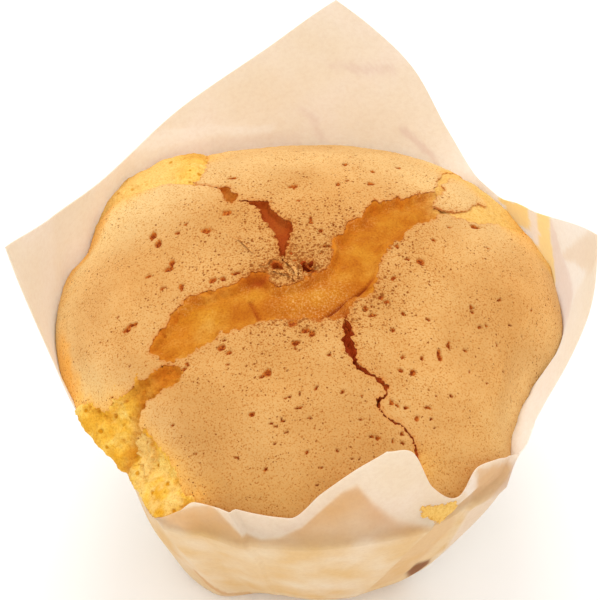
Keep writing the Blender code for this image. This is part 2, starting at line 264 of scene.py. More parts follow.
@dataclass(frozen=True)
class CakeForm:
    """The cake's true form, as in the solids.

    Attributes:
        apex_height: Height of the dome.
        rim_height_mean: Height of the widest line before its unevenness.
        rim_radius_mean: Radius of the widest line before its unevenness.
        base_radius_mean: Radius of the paper's floor before its unevenness.
        paper_offset: From the sponge's rim to the paper's outer face.
        rim_radius_off: Unevenness of the rim's radius round the cake.
        rim_height_off: Unevenness of the rim's height.
        base_radius_off: Unevenness of the floor's radius.
        fullness: How full the side is; 1 is a straight cone.
        shoulder: How square-shouldered the dome is.
    """

    apex_height: float = 62.5
    rim_height_mean: float = 43.5
    rim_radius_mean: float = 43.5
    base_radius_mean: float = 22.0
    paper_offset: float = 0.95
    rim_radius_off: Line = (
        (-161, -0.5), (-149, -2.0), (-132, -1.2), (-115, -0.3), (-75, -0.5), (-60, -1.5),
        (-45, -2.7), (-30, -3.9), (-14, -4.9), (-4, -2.5), (5, -0.3), (18, 0.5), (47, 1.7),
        (90, 0.8), (114, 0.3), (128, 1.9), (140, 1.7), (147, 1.0), (155, -0.2), (165, 0.9),
        (176, 0.5),
    )
    rim_height_off: Line = (
        (-150, -1.0), (-100, 2.0), (-80, 2.5), (-60, 0.5), (-30, -1.5), (0, -0.5),
        (50, 1.0), (90, -0.5), (128, 3.5), (147, 3.0), (158, 0.0), (180, -1.0),
    )
    base_radius_off: Line = (
        (-156, 3.0), (-142, 6.5), (-126, 6.0), (-112, 1.5), (-95, -0.5), (-68, -0.5),
        (-50, 1.0), (0, 0.0), (90, -0.5), (180, 0.0),
    )
    fullness: Line = (
        (-150, 1.0), (-125, 0.95), (-95, 0.7), (-60, 0.64), (0, 0.66), (90, 0.7), (150, 0.8),
    )
    shoulder: Line = (
        (-110, 0.0), (-95, 0.25), (-80, 1.0), (-66, 0.4), (-55, 0.0), (180, 0.0),
    )

    def rim_radius(self, azimuth: np.ndarray) -> np.ndarray:
        """Radius of the sponge's widest line."""
        return self.rim_radius_mean + round_the_cake(self.rim_radius_off, azimuth)

    def rim_height(self, azimuth: np.ndarray) -> np.ndarray:
        """Height of the sponge's widest line."""
        return self.rim_height_mean + round_the_cake(self.rim_height_off, azimuth)

    def wall_radius(self, azimuth: np.ndarray, height: np.ndarray) -> np.ndarray:
        """Outer radius of the paper below the rim, without its pleats.

        Args:
            azimuth: Degrees round the cake.
            height: Height above the table.

        Returns:
            Radius at each place.
        """
        base = self.base_radius_mean + round_the_cake(self.base_radius_off, azimuth)
        top = self.rim_radius(azimuth) + self.paper_offset
        share = np.clip(height / self.rim_height(azimuth), 0, 1)
        return base + (top - base) * share ** round_the_cake(self.fullness, azimuth)

    def dome_powers(self, azimuth: np.ndarray) -> tuple[np.ndarray, np.ndarray]:
        """The two powers of the dome's outline: more is squarer."""
        shoulder = round_the_cake(self.shoulder, azimuth)
        return 2.3 + 1.2 * shoulder, 0.52 - 0.1 * shoulder

    def dome_height(self, azimuth: np.ndarray, share: np.ndarray) -> np.ndarray:
        """Height of the crust at a share of the rim's radius."""
        power, root = self.dome_powers(azimuth)
        low = self.rim_height(azimuth)
        return low + (self.apex_height - low) * np.maximum(1 - share**power, 0) ** root

    def dome_radius(self, azimuth: np.ndarray, height: np.ndarray) -> np.ndarray:
        """Radius of the crust at a height between the rim and the apex."""
        power, root = self.dome_powers(azimuth)
        low = self.rim_height(azimuth)
        lift = np.clip((height - low) / (self.apex_height - low), 0, 1)
        return self.rim_radius(azimuth) * (1 - lift ** (1 / root)) ** (1 / power)


class FlatSkin:
    """The cake's surface laid out flat.

    A point keeps its azimuth, and its distance from the centre is the distance
    from the apex along the surface, down the dome, the side and the underside.
    """

    SECTORS = 720
    STEP = 0.25
    SIDE_GAP = 0.35
    FADE = 3.0
    DOME_POINTS = 400
    SIDE_POINTS = 200
    UNDER_POINTS = 60

    def __init__(self, form: CakeForm) -> None:
        """Tabulate the surface's radius and height along each sector.

        Args:
            form: The cake's form.
        """
        self.form = form
        azimuths = np.arange(self.SECTORS) * 360 / self.SECTORS - 180
        shares = np.sin(np.linspace(0, np.pi / 2, self.DOME_POINTS))
        drop = np.linspace(0.004, 1, self.SIDE_POINTS)
        radii, heights, rims, lengths = [], [], [], []
        for azimuth in azimuths:
            rim_height = float(form.rim_height(azimuth))
            side_z = rim_height + (form.paper_offset - rim_height) * drop
            inset = smooth((rim_height - side_z) / self.FADE)
            gap = form.paper_offset - (form.paper_offset - self.SIDE_GAP) * inset
            side_r = form.wall_radius(azimuth, side_z) - gap
            under_r = np.linspace(side_r[-1], 0, self.UNDER_POINTS)[1:]
            under_z = np.full(len(under_r), form.paper_offset)
            radius = np.concatenate([shares * form.rim_radius(azimuth), side_r, under_r])
            height = np.concatenate([form.dome_height(azimuth, shares), side_z, under_z])
            run = np.concatenate([[0], np.cumsum(np.hypot(np.diff(radius), np.diff(height)))])
            rims.append(run[self.DOME_POINTS - 1])
            lengths.append(run[-1])
            even = np.arange(0, run[-1], self.STEP)
            radii.append(np.interp(even, run, radius))
            heights.append(np.interp(even, run, height))
        self.rim, self.length = np.array(rims), np.array(lengths)
        longest = max(len(r) for r in radii)
        self.radius = np.array([np.pad(r, (0, longest - len(r))) for r in radii])
        self.height = np.array([np.pad(h, (0, longest - len(h)), "edge") for h in heights])

    def sector_read(self, table: np.ndarray, azimuth: np.ndarray) -> np.ndarray:
        """Read a table that has one value a sector."""
        place = (np.asarray(azimuth) + 180) * self.SECTORS / 360
        low = np.floor(place).astype(int)
        part = place - low
        return table[low % self.SECTORS] * (1 - part) + table[(low + 1) % self.SECTORS] * part

    def flat(self, line: Line) -> np.ndarray:
        """Lay points given as seen from above, in (x, y), out flat.

        Args:
            line: Points on the dome.

        Returns:
            Their places on the flat layout.
        """
        laid = []
        for x, y in line:
            azimuth = math.degrees(math.atan2(y, x))
            sector = round((azimuth + 180) * self.SECTORS / 360) % self.SECTORS
            count = int(self.rim[sector] / self.STEP)
            radius = np.maximum.accumulate(self.radius[sector, : count + 1])
            run = np.interp(math.hypot(x, y), radius, np.arange(count + 1) * self.STEP)
            laid.append((azimuth, run))
        return placed(*np.reshape(laid, (-1, 2)).T)

    def spot(self, azimuth: float, beyond_rim: float) -> np.ndarray:
        """Flat place at an azimuth, some way beyond the rim line."""
        run = self.sector_read(self.rim, azimuth) + beyond_rim
        return placed(np.array([azimuth]), run)[0]

    def surface(self, points: np.ndarray) -> np.ndarray:
        """Places in space of flat points.

        Args:
            points: Flat (u, v) points.

        Returns:
            Array of (x, y, z) in millimetres.
        """
        azimuth, run = polar(points)
        sector, run = (azimuth + 180) * self.SECTORS / 360, run / self.STEP
        s0, r0 = np.floor(sector).astype(int), np.floor(run).astype(int)
        sp, rp = sector - s0, run - r0
        last = self.radius.shape[1] - 1
        r1 = np.minimum(r0 + 1, last)
        r0 = np.minimum(r0, last)
        s1 = (s0 + 1) % self.SECTORS
        s0 = s0 % self.SECTORS

        def read(table: np.ndarray) -> np.ndarray:
            near = table[s0, r0] * (1 - rp) + table[s0, r1] * rp
            far = table[s1, r0] * (1 - rp) + table[s1, r1] * rp
            return near * (1 - sp) + far * sp

        return placed(azimuth, read(self.radius), read(self.height))

    def raised(self, points: np.ndarray, rise: np.ndarray) -> np.ndarray:
        """Places in space of flat points, raised square to the surface.

        Args:
            points: Flat (u, v) points.
            rise: How far out each one stands.

        Returns:
            Array of (x, y, z) in millimetres.
        """
        reach = 0.4
        along_u = self.surface(points + (reach, 0)) - self.surface(points - (reach, 0))
        along_v = self.surface(points + (0, reach)) - self.surface(points - (0, reach))
        normal = np.cross(along_u, along_v)
        normal /= np.maximum(np.linalg.norm(normal, axis=1, keepdims=True), 1e-9)
        return self.surface(points) + normal * np.asarray(rise)[:, None]


@dataclass(frozen=True)
class Opening:
    """A place where the crust has parted or come away.

    Attributes:
        outline: Its border on the dome, seen from above.
        beyond: (azimuth, distance past the rim) points that close it outside the dome.
        back_in: The rest of its border, where it comes back onto the dome.
        depth: How far the crumb lies below the crust.
        yellow: Colour of the crumb, from 0 for baked amber to 1 for raw yellow.
        dark: How dark its crumb is drawn, from 0 to 1: partly its own deep red-brown, partly painted
            shade of its depth.
        rough: Height of the torn crumb's relief.
    """

    outline: Line
    beyond: Line = ()
    back_in: Line = ()
    depth: float = 1.0
    yellow: float = 0.0
    dark: float = 0.0
    rough: float = 0.05


VALLEY_BACK: Line = (
    (-27, -12.4), (-26.8, -10.2), (-25.5, -9.3), (-24.3, -7.4), (-22.7, -5.8), (-21.6, -3.9),
    (-20.6, -3.1), (-18.6, -2.6), (-16.6, -2.2), (-14.9, -1.6), (-13.6, -1.1), (-12.3, -0.6),
    (-11.1, 0.4), (-9.9, 1.2), (-8.9, 0.9), (-8.1, 0.9), (-7.2, -0.2), (-6.6, -1.4), (-5.6, -2.3),
    (-4.4, -1.9), (-3.6, -1.5), (-2.7, -1.3), (-1.9, -0.8), (-1.1, -0.2), (0.1, 0.5), (1.4, 1.1),
    (2.8, 1.8), (3.1, 2.9), (3.5, 4.5), (3.7, 6.9), (4, 8.5), (4.9, 9.7), (5.7, 11),
    (6.3, 12.5), (7.5, 13.6), (8.7, 14.6), (9.4, 16.3), (10.5, 17.7), (11.9, 18.4), (13.6, 19.2),
    (15, 20.3), (15.9, 19.2), (17.1, 20.9), (18.6, 22.2), (20.4, 23.3), (22.2, 23.9),
)
VALLEY_FRONT: Line = (
    (-24.1, -14.5), (-22.5, -14.9), (-20.8, -14.6), (-19.7, -13.7), (-18.4, -13),
    (-16.7, -12.7), (-15.6, -12.1), (-14.8, -10.8), (-13.4, -10.8), (-11.8, -10.5), (-10.1, -10.1),
    (-8.2, -9.4), (-6.8, -9.1), (-4.4, -9), (-1.9, -9.3), (0.6, -9.5), (3, -9.4), (4.7, -9.1),
    (5.5, -8.3), (6.4, -7.3), (6.4, -5.8), (6.7, -5), (8.9, -4.6), (10.6, -3.4), (10.6, -1.7),
    (11, 0.4), (11.5, 3.1), (12.1, 4.3), (12.4, 6.2), (13, 7.9), (14.2, 8.5), (15.4, 9.4),
    (15.8, 10.9), (16.9, 12), (18.6, 13.1), (20, 14.2), (21.5, 15.6), (21.9, 17.3),
)
LOWER_LEFT: Line = (
    (-25.8, -15.5), (-26.9, -16.3), (-28.3, -16.9), (-30, -17.5), (-31.3, -17.8), (-33, -18),
    (-34.4, -18.4), (-35.5, -18.2), (-36.9, -16.9), (-38.1, -15.8), (-39.6, -14.9), (-41.2, -14),
)
LOWER_RIGHT: Line = (
    (-24.5, -15), (-22.9, -15.4), (-21.6, -16.2), (-21.4, -17.3), (-21.9, -18.3), (-22.9, -18.9),
    (-24, -19.5), (-25.2, -20), (-26.5, -20.5), (-27.3, -21), (-27.8, -22), (-28.5, -23),
    (-28.8, -23.4), (-27.2, -25.2), (-26, -26.8), (-25, -28.4), (-23.7, -30.1), (-22.7, -31.3),
    (-22, -32.7), (-21.5, -33.8), (-21.2, -34.9), (-20.4, -35.8), (-18.7, -36.7),
)
FRONT_CRACK: Route = (
    (5.9, -7.6, 1), (5.9, -9.4, 0.5), (6.1, -11.3, 1.3), (6.1, -13.2, 1.9), (6.3, -14.8, 1.9),
    (6.4, -16, 1.6), (7.1, -17.1, 1.1), (7.5, -18, 1.2), (8, -18.9, 1.2), (8.8, -19.7, 0.8),
    (10.3, -20.2, 0.4), (11.3, -20.7, 0.55), (12.1, -21.4, 0.4), (12.2, -22.5, 0.35),
    (11.7, -23.6, 0.45), (11, -24.3, 0.8), (10.9, -25.3, 0.9), (11, -26.1, 0.5),
    (11.7, -26.8, 0.4), (12.6, -27.3, 0.55), (14.3, -27.5, 0.45), (15.4, -28.2, 0.35),
    (16.2, -29.3, 0.3), (16.7, -30.2, 0.35), (17, -31.2, 0.3), (17.4, -32.8, 0.1),
)
CREASES: tuple[Line, ...] = (
    ((-5.2, -8.2), (-3.2, -8.4), (-1.1, -8.6), (1.6, -8.4), (3.2, -7.1), (5.2, -5), (7.1, -3.4),
     (9.1, -1.4), (10.8, 0.4)),
    ((-10.6, -4.1), (-9.9, -5.4), (-9.2, -7.1), (-8.6, -8.8)),
)


def ribbon(route: Route) -> Line:
    """Outline of a narrow split from its middle line and widths.

    Args:
        route: (x, y, width) along the split.

    Returns:
        Closed outline as (x, y) points.
    """
    points = np.array(route)
    ahead = np.gradient(points[:, :2], axis=0)
    across = np.stack([-ahead[:, 1], ahead[:, 0]], 1)
    across *= points[:, 2:] / 2 / np.linalg.norm(across, axis=1, keepdims=True)
    both = np.vstack([points[:, :2] + across, (points[:, :2] - across)[::-1]])
    return tuple(map(tuple, both))


class Part(Enum):
    """The openings in the crust."""

    VALLEY = Opening(VALLEY_BACK + VALLEY_FRONT[::-1])
    LOWER_VALLEY = Opening(
        LOWER_LEFT[::-1] + LOWER_RIGHT,
        beyond=((-117.5, 5), (-119, 9), (-140, 9), (-160.5, 9), (-161, 1)),
        yellow=1.0, rough=0.45,
    )
    BACK_CRACK = Opening(
        ((-12.2, 18.6), (-10.5, 17.6), (-9.4, 16.5), (-9.1, 15.1), (-8.4, 13.8), (-7.7, 12.5),
         (-6.5, 11), (-6, 10), (-6.3, 8.5), (-5.8, 6.9), (-5.3, 5.3), (-5.1, 3.4), (-4.6, 3.2),
         (-4.1, 5.2), (-3.9, 6.8), (-3.8, 9.2), (-3.4, 10.9), (-3.9, 12.9), (-5.3, 13),
         (-6, 14.5), (-6.7, 16.1), (-7.4, 17.8), (-9.1, 18.7), (-10.2, 18.8)),
        depth=1.5, dark=0.8, rough=0.15,
    )
    BACK_HOLE = Opening(
        ((-16.6, 22.6), (-15.4, 21.4), (-14.7, 20.3), (-14.4, 18), (-13.6, 17.7), (-13, 19),
         (-12.8, 20.7), (-13.9, 22), (-15.1, 22.9)),
        dark=0.5, rough=0.15,
    )
    FRONT_CRACK = Opening(ribbon(FRONT_CRACK), depth=1.9, dark=1.0)
    PEELED_BACK_LEFT = Opening(
        ((-36.6, 24.4), (-35.5, 25.3), (-33.1, 26), (-30, 26.1), (-27, 26.3), (-24.1, 25.6),
         (-22, 25.2), (-19.6, 25.6), (-18.6, 28.6), (-18, 34)),
        beyond=((116, -3), (116, 4), (140, 4), (150, 3), (150, -1)),
        depth=0.15, yellow=0.85, rough=0.14,
    )
    PEELED_BACK_RIGHT = Opening(
        ((22.3, 17), (21.2, 20), (21.4, 22.5), (21.9, 25.6), (23, 29.7), (24.5, 33)),
        beyond=((53, -1), (54, 4), (29, 4)),
        back_in=((36, 19.8), (33, 18.6), (30.7, 18), (28.3, 16.3), (26.4, 16.8), (25, 17.1),
                 (23.6, 17.8)),
        depth=0.4, yellow=0.9, rough=0.2,
    )
    LACE_LEFT = Opening(
        ((-6.8, 2.7), (-6.4, 3.3), (-5.8, 3.1), (-5.2, 2.3), (-4.6, 1.5), (-5.1, 0.9), (-5.9, 1.2),
         (-6.6, 1.9)),
        depth=1.8, dark=0.8, rough=0.2,
    )
    LACE_RIGHT = Opening(
        ((-2.2, 2.9), (-1.6, 3.5), (-0.9, 2.8), (-0.4, 3.3), (0.5, 2.8), (0.4, 1.8), (-0.6, 0.9),
         (-1.4, 0.7), (-1.9, 1.6)),
        depth=2.4, dark=1.0, rough=0.2,
    )


SHREDS: tuple[Route, ...] = (
    ((-4.9, 4, 0.3), (-3.9, 2.9, 0.8), (-3.2, 1.9, 0.7), (-2.6, 0.7, 0.6), (-2.4, -0.8, 0.25)),
    ((-6.8, 1.2, 0.3), (-5.4, 0.7, 0.7), (-4.1, 0.4, 0.6), (-3.2, -0.4, 0.5), (-2.7, -1.5, 0.25)),
    ((-2.2, 2.5, 0.3), (-1.7, 1.1, 0.6), (-2, -0.8, 0.4)),
    ((-13.4, 9.3, 0.25), (-12, 8.4, 0.45), (-10.7, 6.6, 0.5), (-9.8, 5.1, 0.25)),
    ((-0.9, 2.5, 0.25), (0.1, 1.6, 0.5), (1.3, 2.1, 0.25)),
    ((-8.6, 2, 0.25), (-7.6, 2.4, 0.5), (-6.6, 3.6, 0.25)),
)
TORN_LUMP: Line = (
    (-29.5, -24.7), (-28.5, -24.3), (-27.1, -25.8), (-26.4, -28.3), (-26.4, -30.5),
    (-26.9, -31.3), (-28, -29.9), (-28.6, -28.8), (-29.2, -27.4), (-29.9, -26),
)
GULLY: Line = ((-28, -20.5), (-29.6, -22.5), (-30.6, -25.5), (-31, -28.5), (-29.6, -31))
FLAKE: Line = (
    (20.8, 20.1), (21.7, 21.8), (22.6, 23.1), (23.4, 25.3), (23.1, 26.3), (24.6, 29.3),
    (26.1, 30.5), (27.2, 30.8), (29, 27.8), (30.7, 25.4), (30.8, 23.8), (28.4, 21.9),
    (27.3, 20.2), (25.7, 18.7), (24.2, 18.3), (23.1, 18.4), (21.2, 18.6),
)
HAIR_CRACKS: tuple[Line, ...] = (
    ((-14.9, 21.9), (-16.1, 22.6), (-17.2, 23.1), (-19.3, 24.5), (-22, 25.5)),
    ((17, -31.2), (17.4, -33), (17.2, -35), (18, -38)),
)
PLEATS: Route = (
    (-122, 8, 1.8), (-42, 9, 1.2), (-15, 7, 1.0), (22, 6, 0.9), (50, 6, 1.2), (112, 6, 0.9),
    (134, 6, 1.2), (160, 6, 0.9),
)
PRESSED_IN: Route = ((-29, 5, 1.35), (-18, 9, 2.1), (-45, 6, -0.6), (-175, 8, 0.8))


def pleat(azimuth: np.ndarray) -> np.ndarray:
    """How far the plain pleats carry the paper out, and the cake baked in them."""
    rise = np.zeros(len(azimuth))
    for middle, width, height in PLEATS:
        rise = np.maximum(rise, height * (1 - np.abs(wrapped(azimuth - middle)) / width))
    return rise


def pinch(azimuth: np.ndarray) -> np.ndarray:
    """How far paper and cake are pressed in below the right and left corners."""
    narrow = sum(depth * bell(wrapped(azimuth - at), width) for at, width, depth in PRESSED_IN)
    return narrow + 2.7 * bell(wrapped(azimuth + 149), 20, 4)


class Crust:
    """Where the crust lies, where it has parted, and how deep the crumb is below it."""

    VALLEY_DEPTHS = (2.2, 1.5, 1.2, 1.6, 0.9)
    LOWER_DEPTHS = (1.6, 1.2, 1.0, 1.1, 1.2)
    BLEND = 0.7
    TEARS = ((3, 0.5, 2.4, 2), (5, 0.36, 0.95, 1), (7, 0.22, 0.5, 1))
    LUMPS = ((-18, 30, 1.4), (178, 18, 1.0))

    def __init__(self, skin: FlatSkin) -> None:
        """Lay every outline out flat.

        Args:
            skin: The cake's flat layout.
        """
        self.skin = skin
        self.outlines = {}
        for part in Part:
            beyond = np.reshape([skin.spot(*point) for point in part.value.beyond], (-1, 2))
            outline, back_in = skin.flat(part.value.outline), skin.flat(part.value.back_in)
            self.outlines[part] = np.vstack([outline, beyond, back_in])
        self.back, self.front = skin.flat(VALLEY_BACK), skin.flat(VALLEY_FRONT)
        self.lower_left, self.lower_right = skin.flat(LOWER_LEFT), skin.flat(LOWER_RIGHT)
        self.creases = [skin.flat(line) for line in CREASES]
        self.hair = [skin.flat(line) for line in HAIR_CRACKS]
        self.flake, self.lump, self.gully = (skin.flat(line) for line in (FLAKE, TORN_LUMP, GULLY))
        self.slit = skin.flat(tuple(place[:2] for place in FRONT_CRACK[9:]))

    def ragged(self, points: np.ndarray) -> np.ndarray:
        """Shift flat points, so that an outline read there comes out torn."""
        shift = sum(
            height * Grain(seed).push(points, size, octaves)
            for seed, height, size, octaves in self.TEARS
        )
        calm = 1 - 0.4 * bell(distance_to(points, self.slit), 1.8)
        return points + shift * calm[:, None]

    def past_rim(self, points: np.ndarray) -> np.ndarray:
        """How far flat points lie beyond the widest line."""
        azimuth, run = polar(points)
        return run - self.skin.sector_read(self.skin.rim, azimuth)

    def swell(self, points: np.ndarray) -> np.ndarray:
        """Height of the broad unevenness that crust and crumb share."""
        past, turn = self.past_rim(points), polar(points)[0]
        outside = smooth((past + 5) / 5)
        lumps = 0.3 * Grain(21).at(points, 9.0) * (1 - 0.8 * outside)
        for middle, width, height in self.LUMPS:
            lumps += height * bell(wrapped(turn - middle), width) * smooth((past + 1) / 3)
        torn_side = bell(wrapped(turn + 150), 25, 4)
        lumps -= pinch(turn) * smooth((past + 12) / 8) * (1 - 0.45 * torn_side)
        return lumps + 0.6 * smooth((past + 9) / 7) + pleat(turn) * outside

    def distances(self, points: np.ndarray) -> dict[Part, np.ndarray]:
        """Signed distance to each opening, below zero inside it."""
        return {part: signed_distance(points, outline) for part, outline in self.outlines.items()}

    def opening(self, points: np.ndarray) -> np.ndarray:
        """Signed distance of flat points to the nearest torn opening."""
        return np.min(list(self.distances(self.ragged(points)).values()), axis=0)


def deselect() -> None:
    """Leave nothing selected, so that an operator acts on its own piece alone."""
    bpy.ops.object.select_all(action="DESELECT")


def raw_points(piece: bpy.types.Object) -> np.ndarray:
    """Read a mesh's vertices in metres."""
    raw = np.empty(len(piece.data.vertices) * 3)
    piece.data.vertices.foreach_get("co", raw)
    return raw.reshape(-1, 3)


def set_points(piece: bpy.types.Object, points: np.ndarray) -> None:
    """Move a mesh's vertices.

    Args:
        piece: The mesh object.
        points: A place for each vertex in millimetres.
    """
    piece.data.vertices.foreach_set("co", (points * MM).ravel())
    piece.data.update()


def keep_faces(piece: bpy.types.Object, keep: np.ndarray) -> None:
    """Delete every face that isn't kept, with its loose points.

    Args:
        piece: The mesh object.
        keep: One truth value a face.
    """
    bpy.context.view_layer.objects.active = piece
    bpy.ops.object.mode_set(mode="EDIT")
    bpy.ops.mesh.select_mode(type="FACE")
    bpy.ops.mesh.select_all(action="DESELECT")
    bpy.ops.object.mode_set(mode="OBJECT")
    piece.data.polygons.foreach_set("select", ~keep)
    bpy.ops.object.mode_set(mode="EDIT")
    bpy.ops.mesh.delete(type="FACE")
    bpy.ops.object.mode_set(mode="OBJECT")


def lattice(
    name: str, low: Pair, high: Pair, step: float, keep: Callable | None = None
) -> tuple[bpy.types.Object, np.ndarray]:
    """Add a flat grid that is shaped later.

    Args:
        name: The piece's name.
        low: Lowest flat (u, v) of its area.
        high: Highest flat (u, v).
        step: Cell size.
        keep: Tells which cells stay, from their middles and the count of cells along u and v.

    Returns:
        The piece, and the flat place of each vertex.
    """
    count = np.ceil(np.subtract(high, low) / step).astype(int)
    deselect()
    bpy.ops.mesh.primitive_grid_add(x_subdivisions=count[0], y_subdivisions=count[1], size=1)
    piece = bpy.context.object
    piece.name = piece.data.name = name
    if keep:
        middles = np.array([tuple(face.center) for face in piece.data.polygons])[:, :2] + 0.5
        keep_faces(piece, keep(low + middles * count * step, tuple(count)))
    return piece, low + (raw_points(piece)[:, :2] + 0.5) * count * step


def border(piece: bpy.types.Object) -> np.ndarray:
    """Find the vertices on the open edges of a mesh of four-sided faces."""
    corners = np.empty(len(piece.data.loops), np.int32)
    piece.data.loops.foreach_get("vertex_index", corners)
    faces = corners.reshape(-1, 4)
    ends = np.concatenate([faces[:, [side, (side + 1) % 4]] for side in range(4)])
    ends, times = np.unique(np.sort(ends, 1), axis=0, return_counts=True)
    found = np.zeros(len(piece.data.vertices), bool)
    found[ends[times == 1].ravel()] = True
    return found


def store(piece: bpy.types.Object, **values: np.ndarray) -> None:
    """Keep named values on a mesh's vertices for its material to read."""
    for name, value in values.items():
        layer = piece.data.attributes.new(name, "FLOAT", "POINT")
        layer.data.foreach_set("value", np.asarray(value, np.float32))


def thicken(piece: bpy.types.Object, thickness: float, rim_slot: int = 0) -> None:
    """Give an open sheet its thickness inwards.

    Args:
        piece: The sheet.
        thickness: In millimetres.
        rim_slot: How many material slots on from the face's own its edge takes.
    """
    bpy.context.view_layer.objects.active = piece
    bpy.ops.object.modifier_add(type="SOLIDIFY")
    solid = piece.modifiers[-1]
    solid.thickness = thickness * MM
    solid.offset = -1
    solid.use_rim = True
    solid.material_offset_rim = rim_slot
    bpy.ops.object.modifier_apply(modifier=solid.name)


def shade(piece: bpy.types.Object, sharp_from: float = 60.0) -> None:
    """Shade a piece smooth, apart from edges sharper than an angle."""
    deselect()
    piece.select_set(True)
    bpy.context.view_layer.objects.active = piece
    bpy.ops.object.shade_smooth_by_angle(angle=math.radians(sharp_from))


def dress(piece: bpy.types.Object, node: str, slot: str, *materials: bpy.types.Material) -> None:
    """Give a piece its materials, hang it on the root body and hide the solid that it stands for.

    Args:
        piece: The finished piece.
        node: The solid that it stands for.
        slot: Not used.
        materials: One for each material slot, in order.
    """
    piece.data.materials.clear()
    for material in materials:
        piece.data.materials.append(material)
    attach(piece, "root")
    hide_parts(node)
    triangles = sum(len(face.vertices) - 2 for face in piece.data.polygons)
    LOG.info("%s: %d triangles", piece.name, triangles)


def tone(piece: bpy.types.Object, yellow: float, pale: float = 0.0) -> None:
    """Give a piece of crumb one tone all over."""
    tones = {"yellow": yellow, "pale": pale, "rust": 0.0, "dark": 0.0, "frost": 0.0}
    count = len(piece.data.vertices)
    store(piece, **{name: np.full(count, value) for name, value in tones.items()})


def feed(node: bpy.types.Node, inputs: dict[int | str, object]) -> None:
    """Link or set a node's inputs.

    Args:
        node: The node.
        inputs: Socket name or number, to a plain value, a hex colour or an output socket.
    """
    for socket, value in inputs.items():
        if isinstance(value, bpy.types.NodeSocket):
            node.id_data.links.new(value, node.inputs[socket])
        else:
            node.inputs[socket].default_value = linear(value) if isinstance(value, str) else value


def add_node(
    tree: bpy.types.NodeTree,
    kind: str,
    inputs: dict[int | str, object],
    stops: tuple[tuple[float, str], ...] = (),
    out: int | str = 0,
    **settings: object,
) -> bpy.types.NodeSocket:
    """Add a node with its settings and links.

    Args:
        tree: The material's node tree.
        kind: The node's type, after its "ShaderNode".
        inputs: What its inputs are fed.
        stops: (share, hex colour) of each stop of a colour ramp.
        out: Name or number of the output that is wanted.
        settings: The node's own settings.

    Returns:
        That output socket.
    """
    node = tree.nodes.new(f"ShaderNode{kind}")
    for name, value in settings.items():
        setattr(node, name, value)
    feed(node, inputs)
    for index, (place, code) in enumerate(stops):
        band = node.color_ramp.elements
        stop = band[index] if index < len(band) else band.new(place)
        stop.position, stop.color = place, linear(code)
    return node.outputs[out]


class Finish:
    """A finish in the making: its material, its nodes and the coordinates of its patterns."""

    def __init__(self, name: str) -> None:
        """Start the material.

        Args:
            name: The material's name.
        """
        self.material = bpy.data.materials.new(name)
        self.material.use_nodes = True
        self.nodes = self.material.node_tree.nodes
        self.add = partial(add_node, self.material.node_tree)
        self.spot = self.add("TexCoord", {}, out="Object")

    def tinted(self, colour: bpy.types.NodeSocket, **tones: object) -> bpy.types.NodeSocket:
        """Lay tones over a colour, each as strong as the mark of its name on the mesh."""
        for name, tint in tones.items():
            share = self.add("Attribute", {}, out="Fac", attribute_name=name)
            colour = self.add("Mix", {0: share, 6: colour, 7: tint}, out=2, data_type="RGBA")
        return colour

    def speckled(
        self, colour: bpy.types.NodeSocket, share: bpy.types.NodeSocket, *stops: tuple[float, str]
    ) -> bpy.types.NodeSocket:
        """Darken a colour by a grain's own tones."""
        grain = self.add("ValToRGB", {"Fac": share}, stops)
        inputs = {0: 1.0, 6: colour, 7: grain}
        return self.add("Mix", inputs, out=2, data_type="RGBA", blend_type="MULTIPLY")

    def done(self, colour: bpy.types.NodeSocket, **sockets: object) -> bpy.types.Material:
        """Feed the shader its colour and its other sockets, whose names have _ for a space."""
        named = {name.replace("_", " "): value for name, value in sockets.items()}
        feed(self.nodes["Principled BSDF"], {"Base Color": colour, **named})
        return self.material


